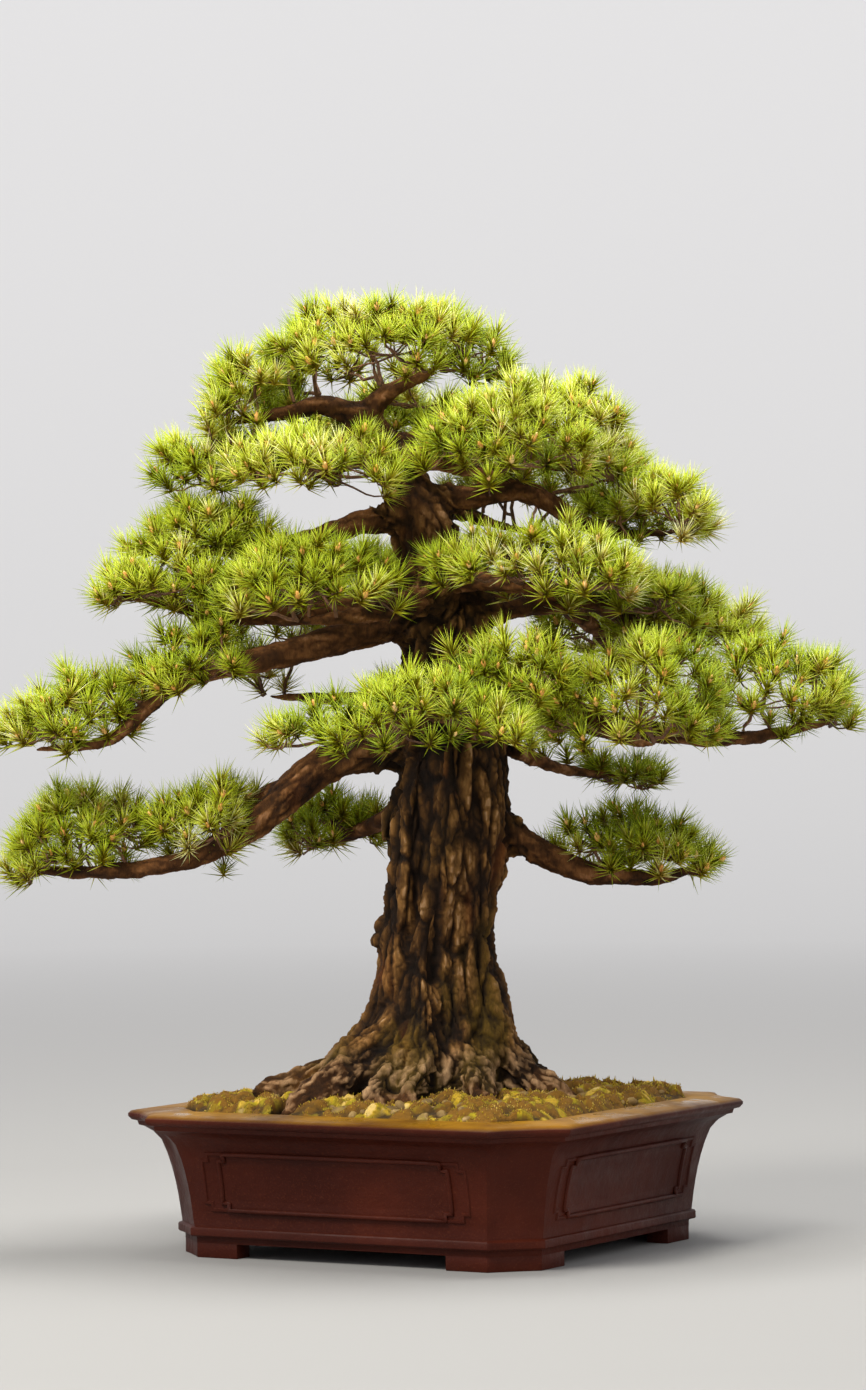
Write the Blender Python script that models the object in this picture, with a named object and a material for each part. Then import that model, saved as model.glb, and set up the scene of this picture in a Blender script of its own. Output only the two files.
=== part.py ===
"""A pine bonsai in a cut-cornered stoneware pot, as closed solids.

The frame is the pot's: +X runs along the pot's longer side, -Y is its front, +Z is up, and the
origin is at the middle of the pot, on the surface that its four feet stand on.  The tree was
trained to be seen from in front of the pot's right-hand front corner, so its own frame is turned
by VIEW_TURN: "side" runs to the right, "back" runs away and "up" is the height.
"""
import math
import random

import bmesh
import bpy
from mathutils import Matrix, Vector, noise

# ---------------------------------------------------------------- driving dimensions, metres
GAP = 0.0004              # clearance between two solids that touch in the real object
VIEW_TURN = math.radians(30.0)

# the pot
POT_HALF_X = 0.250        # half of the rim's length
POT_HALF_Y = 0.240        # half of the rim's width
POT_HEIGHT = 0.144
RIM_WIDTH = 0.046         # from the nose to the soil's edge
CORNER_CUT = 0.058        # leg of the cut corner at the rim
CORNER_CUT_FALL = 0.41    # how much the leg shrinks for each metre of inset
CORNER_DENT = 0.007       # how far the cut corner steps in, at the rim
INNER_DENT = 0.003        # and inside the pot
PLINTH_DENT = 0.001       # and at the plinth and the feet
PLINTH_INSET = 0.048      # from the nose to the foot
INNER_INSET = 0.060       # from the nose to the inner wall, at the floor
FOOT_HEIGHT = 0.0145
FOOT_REACH = 0.046        # how far a foot runs along the side from its cut corner
FOOT_WIDTH = 0.024
FLOOR_TOP = 0.0285        # inner floor of the pot
HOLE_RADIUS = 0.014
HOLE_X = 0.090
BEAD_HALF_WIDTH = 0.0024
BEAD_HEIGHT = 0.0018
PANEL_TOP = 0.104
PANEL_BOTTOM = 0.048
PANEL_MARGIN = 0.018      # from the bead to the edge of the flat face
PANEL_NOTCH = 0.007

# what the pot holds
GRIT_DEPTH = 0.016
SOIL_TOP = 0.137
MOSS_EDGE = 0.1385        # the moss's height at the rim
MOSS_CROWN = 0.014        # how much higher the moss stands by the trunk
SCREEN_HALF = 0.024
SCREEN_THICK = 0.0012

# the tree
WOOD_VOXEL = 0.0036
WOOD_KEPT = 0.026         # share of the remeshed wood's faces that the solid keeps
WOOD_CLEARANCE = 0.0035   # how far the foliage, moss and soil stay off the wood
PAD_CLEARANCE = 0.0006    # and the foliage pads off each other


# ---------------------------------------------------------------- small helpers
def tree_point(side, back, up):
    """A point of the tree's own frame, in the pot's frame."""
    turn, lean = math.cos(VIEW_TURN), math.sin(VIEW_TURN)
    return Vector((side * turn - back * lean, side * lean + back * turn, up))


def material(name, colour, roughness, metallic=0.0):
    """A plain Principled material."""
    made = bpy.data.materials.new(name)
    made.use_nodes = True
    shader = made.node_tree.nodes["Principled BSDF"]
    shader.inputs["Base Color"].default_value = (*colour, 1.0)
    shader.inputs["Roughness"].default_value = roughness
    shader.inputs["Metallic"].default_value = metallic
    return made


def add_object(name, bm, finish=None, smooth_angle=40.0):
    """Turns a bmesh into an object with outward faces."""
    bmesh.ops.recalc_face_normals(bm, faces=bm.faces)
    mesh = bpy.data.meshes.new(name)
    bm.to_mesh(mesh)
    bm.free()
    mesh.shade_smooth()
    mesh.set_sharp_from_angle(angle=math.radians(smooth_angle))
    made = bpy.data.objects.new(name, mesh)
    bpy.context.scene.collection.objects.link(made)
    if finish:
        mesh.materials.append(finish)
    return made


def as_cutter(cutter):
    """Marks an object as a tool that is not part of the model."""
    cutter.hide_render = True
    cutter.display_type = "WIRE"
    return cutter


def boolean(target, other, operation="DIFFERENCE"):
    """Adds an exact Boolean modifier."""
    modifier = target.modifiers.new(operation.title(), "BOOLEAN")
    modifier.object = other
    modifier.operation = operation
    modifier.solver = "EXACT"
    return modifier


def settle(target):
    """Makes the modifiers' result the object's own mesh, and keeps its largest body."""
    bpy.context.view_layer.update()
    graph = bpy.context.evaluated_depsgraph_get()
    mesh = bpy.data.meshes.new_from_object(target.evaluated_get(graph))
    target.modifiers.clear()
    bm = bmesh.new()
    bm.from_mesh(mesh)
    bodies = islands(bm)
    bodies.sort(key=lambda faces: -sum(face.calc_area() for face in faces))
    spare = [face for faces in bodies[1:] for face in faces]
    bmesh.ops.delete(bm, geom=spare, context="FACES")
    bmesh.ops.delete(bm, geom=[v for v in bm.verts if not v.link_faces], context="VERTS")
    bm.to_mesh(mesh)
    bm.free()
    target.data = mesh
    return target


def islands(bm):
    """The faces of each separate body in a bmesh."""
    seen, found = set(), []
    for start in bm.faces:
        if start in seen:
            continue
        body, queue = [], [start]
        seen.add(start)
        while queue:
            face = queue.pop()
            body.append(face)
            for edge in face.edges:
                for other in edge.link_faces:
                    if other not in seen:
                        seen.add(other)
                        queue.append(other)
        found.append(body)
    return found


def loft(bm, rings):
    """Joins closed rings of points into one skin with flat ends."""
    rows = [[bm.verts.new(point) for point in ring] for ring in rings]
    for lower, upper in zip(rows, rows[1:]):
        count = len(lower)
        for i in range(count):
            j = (i + 1) % count
            bm.faces.new((lower[i], lower[j], upper[j], upper[i]))
    bm.faces.new(reversed(rows[0]))
    bm.faces.new(rows[-1])
    return rows


def box(name, low, high):
    """A plain box between two corners, used as a cutter."""
    bm = bmesh.new()
    size = Vector(high) - Vector(low)
    middle = (Vector(high) + Vector(low)) / 2
    bmesh.ops.create_cube(bm, size=1.0, matrix=Matrix.Translation(middle) @ Matrix.Diagonal((*size, 1.0)))
    return as_cutter(add_object(name, bm))


def box_of(target):
    """An object's lowest and highest corner."""
    spots = [target.matrix_world @ vert.co for vert in target.data.vertices]
    low = Vector([min(p[i] for p in spots) for i in range(3)])
    high = Vector([max(p[i] for p in spots) for i in range(3)])
    return low, high


def boxes_meet(first, second):
    (low_a, high_a), (low_b, high_b) = box_of(first), box_of(second)
    return all(low_a[i] < high_b[i] and low_b[i] < high_a[i] for i in range(3))


# ---------------------------------------------------------------- the pot
def corner_cut(inset):
    return CORNER_CUT - CORNER_CUT_FALL * inset


def pot_outline(inset, height, dent=0.0):
    """A rectangle with four cut corners, each of which steps in by dent."""
    half_x, half_y, cut = POT_HALF_X - inset, POT_HALF_Y - inset, corner_cut(inset)
    points = []
    for quadrant in range(4):
        sign_x = (1, -1, -1, 1)[quadrant]
        sign_y = (1, 1, -1, -1)[quadrant]
        along_x = Vector((half_x - cut, half_y))
        along_y = Vector((half_x, half_y - cut))
        facet = along_x - along_y
        inward = Vector((-1, -1)).normalized()
        corner = []
        for share, depth in ((0.0, 0.0), (0.11, 0.35), (0.24, 1.0), (0.76, 1.0), (0.89, 0.35), (1.0, 0.0)):
            corner.append(along_y + facet * share + inward * dent * depth)
        if quadrant % 2:
            corner.reverse()
        points += [Vector((p.x * sign_x, p.y * sign_y, height)) for p in corner]
    return points


def wall_inset(height):
    """How far the flat part of the outer wall stands in from the nose, at a height."""
    top, bottom, low, high = 0.0285, 0.0455, 0.032, 0.112
    share = (height - low) / (high - low)
    return bottom + (top - bottom) * (0.55 * share + 0.45 * share ** 3)


def outer_profile():
    """(inset, height, dent) from the underside up to the inner edge of the rim."""
    plinth = ((PLINTH_INSET, FOOT_HEIGHT), (PLINTH_INSET, 0.0185), (0.0475, 0.0205), (0.0430, 0.0212),
              (0.0420, 0.0225), (0.0420, 0.0285), (0.0430, 0.0300), (0.0455, 0.0310))
    rows = [(inset, height, PLINTH_DENT) for inset, height in plinth]
    for step in range(1, 7):
        height = 0.032 + (0.112 - 0.032) * step / 6
        rows.append((wall_inset(height), height, PLINTH_DENT + 0.003 * step / 6))
    rows += [(0.0215, 0.1205, 0.005), (0.0140, 0.1255, 0.006), (0.0092, 0.1268, CORNER_DENT),
             (0.0078, 0.1310, CORNER_DENT), (0.0030, 0.1322, CORNER_DENT), (0.0, 0.1358, CORNER_DENT),
             (0.0, 0.1385, CORNER_DENT), (0.0030, 0.1412, CORNER_DENT), (0.0085, 0.1422, CORNER_DENT),
             (RIM_WIDTH - 0.004, POT_HEIGHT, 0.004), (RIM_WIDTH, POT_HEIGHT - 0.0015, 0.003)]
    return rows


def inner_inset(height):
    """The inner wall's inset, from the floor to the rim's inner edge."""
    share = (height - FLOOR_TOP) / (POT_HEIGHT - FLOOR_TOP)
    return INNER_INSET + (RIM_WIDTH - INNER_INSET) * share ** 0.6


def panel_path(half_length):
    """The raised frame's route on one face, as (along, height), with a notch at each corner."""
    path = []
    upright = 3
    corners = ((1, 1), (-1, 1), (-1, -1), (1, -1))
    for sign_s, sign_z in corners:
        edge_z = PANEL_TOP if sign_z > 0 else PANEL_BOTTOM
        edge_s = half_length * sign_s
        in_z = edge_z - sign_z * PANEL_NOTCH
        in_s = edge_s - sign_s * PANEL_NOTCH
        notch = [(edge_s, in_z), (in_s, in_z), (in_s, edge_z)]
        if sign_s * sign_z < 0:
            notch.reverse()
        path += notch
    full = []
    for here, after in zip(path, path[1:] + path[:1]):
        full.append(here)
        if abs(after[1] - here[1]) > 3 * PANEL_NOTCH:
            for step in range(1, upright):
                full.append((here[0], here[1] + (after[1] - here[1]) * step / upright))
    return full


def panel_frame(name, turn, half_depth, half_length):
    """A low rounded bead round the panel of one face of the pot."""
    path = panel_path(half_length)
    section = ((-1.0, -0.6), (-0.5, 0.9), (0.5, 0.9), (1.0, -0.6))
    bm = bmesh.new()
    rows = []
    count = len(path)
    for i, (along, height) in enumerate(path):
        before, after = path[i - 1], path[(i + 1) % count]
        come = Vector((along - before[0], height - before[1])).normalized()
        leave = Vector((after[0] - along, after[1] - height)).normalized()
        across = Vector((-(come.y + leave.y), come.x + leave.x)).normalized()
        mitre = BEAD_HALF_WIDTH / max(0.5, across.dot(Vector((-come.y, come.x))))
        row = []
        for wide, proud in section:
            spot_s = along + across.x * wide * mitre
            spot_z = height + across.y * wide * mitre
            depth = half_depth - wall_inset(spot_z) + proud * BEAD_HEIGHT
            row.append(bm.verts.new(turn @ Vector((spot_s, -depth, spot_z))))
        rows.append(row)
    for i in range(count):
        here, after = rows[i], rows[(i + 1) % count]
        for k in range(len(section)):
            m = (k + 1) % len(section)
            bm.faces.new((here[k], here[m], after[m], after[k]))
    return as_cutter(add_object(name, bm))


def make_pot(finish):
    """The fired pot down to its flat underside: skin, hollow, drain holes and four framed panels."""
    bm = bmesh.new()
    loft(bm, [pot_outline(inset, height, dent) for inset, height, dent in outer_profile()])
    pot = add_object("pot", bm, finish)

    bm = bmesh.new()
    steps = 5
    heights = [FLOOR_TOP + (POT_HEIGHT - 0.004 - FLOOR_TOP) * i / steps for i in range(steps + 1)]
    rings = [pot_outline(inner_inset(z), z, INNER_DENT) for z in heights]
    rings.append(pot_outline(inner_inset(POT_HEIGHT) + 0.0006, POT_HEIGHT + 0.01, INNER_DENT))
    loft(bm, rings)
    boolean(pot, as_cutter(add_object("cut_hollow", bm)))

    for side in (-1, 1):
        bm = bmesh.new()
        bmesh.ops.create_cone(bm, cap_ends=True, segments=16, radius1=HOLE_RADIUS, radius2=HOLE_RADIUS,
                              depth=0.06, matrix=Matrix.Translation((side * HOLE_X, 0.0, 0.02)))
        boolean(pot, as_cutter(add_object("cut_hole", bm)))

    for quarter in range(4):
        half_depth, half_length = POT_HALF_Y, POT_HALF_X
        if quarter % 2:
            half_depth, half_length = POT_HALF_X, POT_HALF_Y
        inset = wall_inset(PANEL_BOTTOM)
        reach = half_length - inset - corner_cut(inset) - PANEL_MARGIN
        turn = Matrix.Rotation(quarter * math.pi / 2, 4, "Z")
        boolean(pot, panel_frame("panel_frame", turn, half_depth, reach), "UNION")
    return settle(pot)


def make_foot(name, side_x, side_y, finish):
    """One bracket foot, which wraps a cut corner.  It is a solid of its own, so that the low gap
    between the feet stays open, and it meets the pot's underside with the usual clearance."""
    bm = bmesh.new()
    loft(bm, [pot_outline(PLINTH_INSET, z, PLINTH_DENT) for z in (0.0, FOOT_HEIGHT - GAP)])
    foot = add_object(name, bm, finish)

    bm = bmesh.new()
    loft(bm, [pot_outline(PLINTH_INSET + FOOT_WIDTH, z) for z in (-0.01, FOOT_HEIGHT)])
    boolean(foot, as_cutter(add_object("cut_within", bm)))

    reach = PLINTH_INSET + corner_cut(PLINTH_INSET) + FOOT_REACH
    xs = sorted((side_x * (POT_HALF_X - reach), side_x * POT_HALF_X))
    ys = sorted((side_y * (POT_HALF_Y - reach), side_y * POT_HALF_Y))
    boolean(foot, box("keep_corner", (xs[0], ys[0], -0.01), (xs[1], ys[1], FOOT_HEIGHT)), "INTERSECT")
    return settle(foot)


# ---------------------------------------------------------------- inside the pot
def drain_screen(name, centre_x, finish):
    """A small square of plastic mesh over a drain hole, with its openings as a plain plate."""
    bm = bmesh.new()
    low = FLOOR_TOP + GAP
    corners = []
    for height in (low, low + SCREEN_THICK):
        ring = []
        for quarter in range(4):
            for lean in (-0.12, 0.12):
                angle = math.pi / 4 + quarter * math.pi / 2 + lean
                reach = SCREEN_HALF * math.sqrt(2) * 0.96
                ring.append(Vector((centre_x + math.cos(angle) * reach, math.sin(angle) * reach, height)))
        corners.append(ring)
    loft(bm, corners)
    return add_object(name, bm, finish)


def make_filling(grit_finish, soil_finish, wood_cutters):
    """The coarse grit at the bottom and the soil over it, both clear of the pot by the gap."""
    grit_low = FLOOR_TOP + GAP
    grit_high = grit_low + GRIT_DEPTH
    bm = bmesh.new()
    loft(bm, [pot_outline(inner_inset(z) + GAP * 1.5, z, INNER_DENT) for z in (grit_low, grit_high)])
    grit = add_object("drainage_grit", bm, grit_finish)
    for side in (-1, 1):
        reach = SCREEN_HALF + 0.002
        boolean(grit, box("cut_screen", (side * HOLE_X - reach, -reach, grit_low - 0.01),
                          (side * HOLE_X + reach, reach, grit_low + SCREEN_THICK + GAP)))
    settle(grit)

    bm = bmesh.new()
    soil_low = grit_high + GAP
    heights = [soil_low + (SOIL_TOP - soil_low) * i / 2 for i in range(3)]
    loft(bm, [pot_outline(inner_inset(z) + GAP * 2.5, z, INNER_DENT) for z in heights])
    soil = add_object("soil", bm, soil_finish)
    return grit, cut_room(soil, wood_cutters)


def moss_height(x, y):
    """The moss's top: domed towards the trunk, with soft cushions."""
    half_x, half_y = POT_HALF_X - RIM_WIDTH, POT_HALF_Y - RIM_WIDTH
    edge = max(abs(x) / half_x, abs(y) / half_y)
    dome = MOSS_CROWN * (1.0 - edge ** 2)
    cushions = 0.0028 * noise.noise(Vector((x * 38.0, y * 38.0, 3.0)))
    return MOSS_EDGE + 0.0035 + dome + cushions * (1.0 - edge ** 6)


def make_moss(finish, cutters):
    """One carpet of moss on the soil, from the rim to the trunk."""
    bm = bmesh.new()
    outer = pot_outline(inner_inset(SOIL_TOP) + GAP * 3, 0.0, INNER_DENT)
    shares = (1.0, 0.96, 0.82, 0.66, 0.50, 0.30)
    base = SOIL_TOP + GAP
    bottom = [bm.verts.new((p.x, p.y, base)) for p in outer]
    rows = []
    for index, share in enumerate(shares):
        row = []
        for p in outer:
            x, y = p.x * share, p.y * share
            top = MOSS_EDGE + 0.0015 if index == 0 else moss_height(x, y)
            row.append(bm.verts.new((x, y, top)))
        rows.append(row)
    count = len(outer)
    for i in range(count):
        j = (i + 1) % count
        bm.faces.new((bottom[i], bottom[j], rows[0][j], rows[0][i]))
        for lower, upper in zip(rows, rows[1:]):
            bm.faces.new((lower[i], lower[j], upper[j], upper[i]))
    bm.faces.new(reversed(bottom))
    middle = bm.verts.new((0.0, 0.0, moss_height(0.0, 0.0)))
    for i in range(count):
        bm.faces.new((rows[-1][i], rows[-1][(i + 1) % count], middle))
    bmesh.ops.triangulate(bm, faces=bm.faces)
    moss = add_object("moss_carpet", bm, finish)
    return cut_room(moss, cutters)


def stone_shape(name, side, back, size, turn, grow=0.0, finish=None):
    """A rounded pebble half sunk in the moss."""
    chance = random.Random(round(side * 1000))
    bm = bmesh.new()
    bmesh.ops.create_icosphere(bm, subdivisions=2, radius=1.0)
    ground = tree_point(side, back, 0.0)
    level = moss_height(ground.x, ground.y)
    phase = chance.uniform(0, 9)
    for vert in bm.verts:
        rough = 1.0 + 0.13 * noise.noise(vert.co * 1.7 + Vector((phase, 0, 0)))
        vert.co = Vector((vert.co.x * (size * rough + grow), vert.co.y * (size * 0.74 * rough + grow),
                          vert.co.z * (size * 0.62 * rough + grow)))
    place = Matrix.Translation((ground.x, ground.y, level + size * 0.12)) @ Matrix.Rotation(turn, 4, "Z")
    bmesh.ops.transform(bm, matrix=place, verts=bm.verts)
    return add_object(name, bm, finish)


# ---------------------------------------------------------------- the wood
def smooth_route(points, steps=4):
    """A smooth curve (Catmull-Rom) through (side, back, up, radius) points."""
    rows = [Vector(p) for p in points]
    rows = [rows[0] * 2 - rows[1]] + rows + [rows[-1] * 2 - rows[-2]]
    route = []
    for a, b, c, d in zip(rows, rows[1:], rows[2:], rows[3:]):
        for step in range(steps):
            t = step / steps
            route.append(0.5 * ((2 * b) + (c - a) * t + (2 * a - 5 * b + 4 * c - d) * t * t
                                + (3 * b - a - 3 * c + d) * t ** 3))
    route.append(rows[-2])
    return route


def limb(bm, points, sides=10, lobes=0.0, steps=4, phase=0.0, grow=0.0):
    """One closed, tapering limb round a smooth route; lobes flute its section."""
    route = smooth_route(points, steps)
    spots = [tree_point(p[0], p[1], p[2]) for p in route]
    radii = [max(0.0022, p[3]) + grow for p in route]
    across = None
    rings = []
    for i, spot in enumerate(spots):
        ahead = (spots[min(i + 1, len(spots) - 1)] - spots[max(i - 1, 0)]).normalized()
        if across is None:
            across = ahead.orthogonal().normalized()
        across = (across - ahead * across.dot(ahead)).normalized()
        other = ahead.cross(across)
        ring = []
        for k in range(sides):
            angle = 2 * math.pi * k / sides
            flute = 1.0 + lobes * (0.5 * math.sin(3 * angle + phase + 7 * spot.z)
                                   + 0.5 * math.sin(5 * angle - phase * 2 + 11 * spot.z))
            ring.append(spot + (across * math.cos(angle) + other * math.sin(angle)) * radii[i] * flute)
        rings.append(ring)
    tip = (spots[-1] - spots[-2]).normalized() * (radii[-1] * 0.6 + grow)
    rings.append([spots[-1] + tip + (p - spots[-1]) * 0.55 for p in rings[-1]])
    loft(bm, rings)


TRUNK_LOBES = 0.10        # depth of the flutes, as a share of the radius
BOUGH_LOBES = 0.06

# Each row is (side, back, up, radius).
TRUNK = ((-0.014, 0.0, 0.104, 0.078), (-0.012, 0.0, 0.150, 0.100), (-0.006, 0.0, 0.185, 0.090),
         (0.001, 0.0, 0.2225, 0.075), (0.0, 0.0, 0.2535, 0.066), (-0.002, 0.0, 0.2975, 0.056),
         (0.006, 0.0, 0.3335, 0.053), (0.010, 0.0, 0.3795, 0.057), (0.016, 0.0, 0.4355, 0.058),
         (0.022, 0.0, 0.4885, 0.056), (0.020, 0.005, 0.560, 0.049), (0.013, 0.010, 0.631, 0.041),
         (0.003, 0.010, 0.680, 0.034), (-0.007, 0.005, 0.7255, 0.028), (-0.035, 0.0, 0.780, 0.022),
         (-0.072, 0.0, 0.832, 0.016))

ROOTS = (
    ((-0.045, -0.008, 0.208, 0.034), (-0.088, -0.018, 0.180, 0.027), (-0.130, -0.028, 0.164, 0.021),
     (-0.178, -0.034, 0.156, 0.014)),
    ((-0.045, -0.035, 0.205, 0.034), (-0.095, -0.075, 0.172, 0.027), (-0.128, -0.100, 0.152, 0.019),
     (-0.150, -0.118, 0.138, 0.010)),
    ((-0.035, -0.055, 0.195, 0.022), (-0.055, -0.098, 0.164, 0.016), (-0.066, -0.128, 0.142, 0.010)),
    ((-0.008, -0.062, 0.192, 0.022), (-0.024, -0.106, 0.163, 0.015), (-0.030, -0.136, 0.141, 0.010)),
    ((0.030, -0.055, 0.192, 0.024), (0.042, -0.098, 0.163, 0.017), (0.050, -0.128, 0.141, 0.010)),
    ((0.042, -0.025, 0.200, 0.032), (0.080, -0.042, 0.172, 0.024), (0.112, -0.054, 0.156, 0.018),
     (0.140, -0.062, 0.141, 0.010)),
    ((0.040, 0.025, 0.200, 0.031), (0.088, 0.055, 0.168, 0.023), (0.130, 0.078, 0.142, 0.011)),
    ((-0.045, 0.035, 0.205, 0.032), (-0.100, 0.072, 0.166, 0.023), (-0.142, 0.100, 0.140, 0.011)),
    ((0.002, 0.050, 0.205, 0.032), (0.010, 0.110, 0.164, 0.022), (0.018, 0.158, 0.139, 0.011)),
)

# Long swellings that run up from the roots, and burrs: they make the trunk's muscles.
RIDGES = (
    ((-0.062, -0.030, 0.190, 0.024), (-0.050, -0.036, 0.240, 0.020), (-0.040, -0.034, 0.300, 0.017),
     (-0.030, -0.036, 0.370, 0.018), (-0.020, -0.038, 0.440, 0.016), (-0.012, -0.034, 0.500, 0.014)),
    ((-0.010, -0.074, 0.190, 0.022), (-0.016, -0.062, 0.240, 0.018), (-0.012, -0.048, 0.300, 0.015),
     (0.006, -0.050, 0.370, 0.016), (0.018, -0.050, 0.440, 0.015), (0.020, -0.042, 0.520, 0.013)),
    ((0.060, -0.045, 0.180, 0.022), (0.052, -0.044, 0.230, 0.019), (0.038, -0.036, 0.300, 0.016),
     (0.044, -0.036, 0.370, 0.018), (0.054, -0.034, 0.440, 0.017), (0.050, -0.028, 0.520, 0.014)),
    ((0.060, 0.040, 0.185, 0.022), (0.048, 0.040, 0.250, 0.018), (0.036, 0.036, 0.320, 0.016),
     (0.044, 0.040, 0.420, 0.016), (0.042, 0.036, 0.500, 0.014)),
    ((-0.055, 0.045, 0.190, 0.022), (-0.046, 0.040, 0.250, 0.018), (-0.034, 0.036, 0.320, 0.016),
     (-0.020, 0.042, 0.420, 0.016), (-0.010, 0.038, 0.500, 0.014)),
    ((-0.036, -0.014, 0.322, 0.016), (-0.052, -0.020, 0.311, 0.013), (-0.059, -0.022, 0.302, 0.009)),
    ((0.040, -0.010, 0.490, 0.018), (0.064, -0.012, 0.484, 0.014), (0.072, -0.012, 0.478, 0.010)),
)

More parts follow.
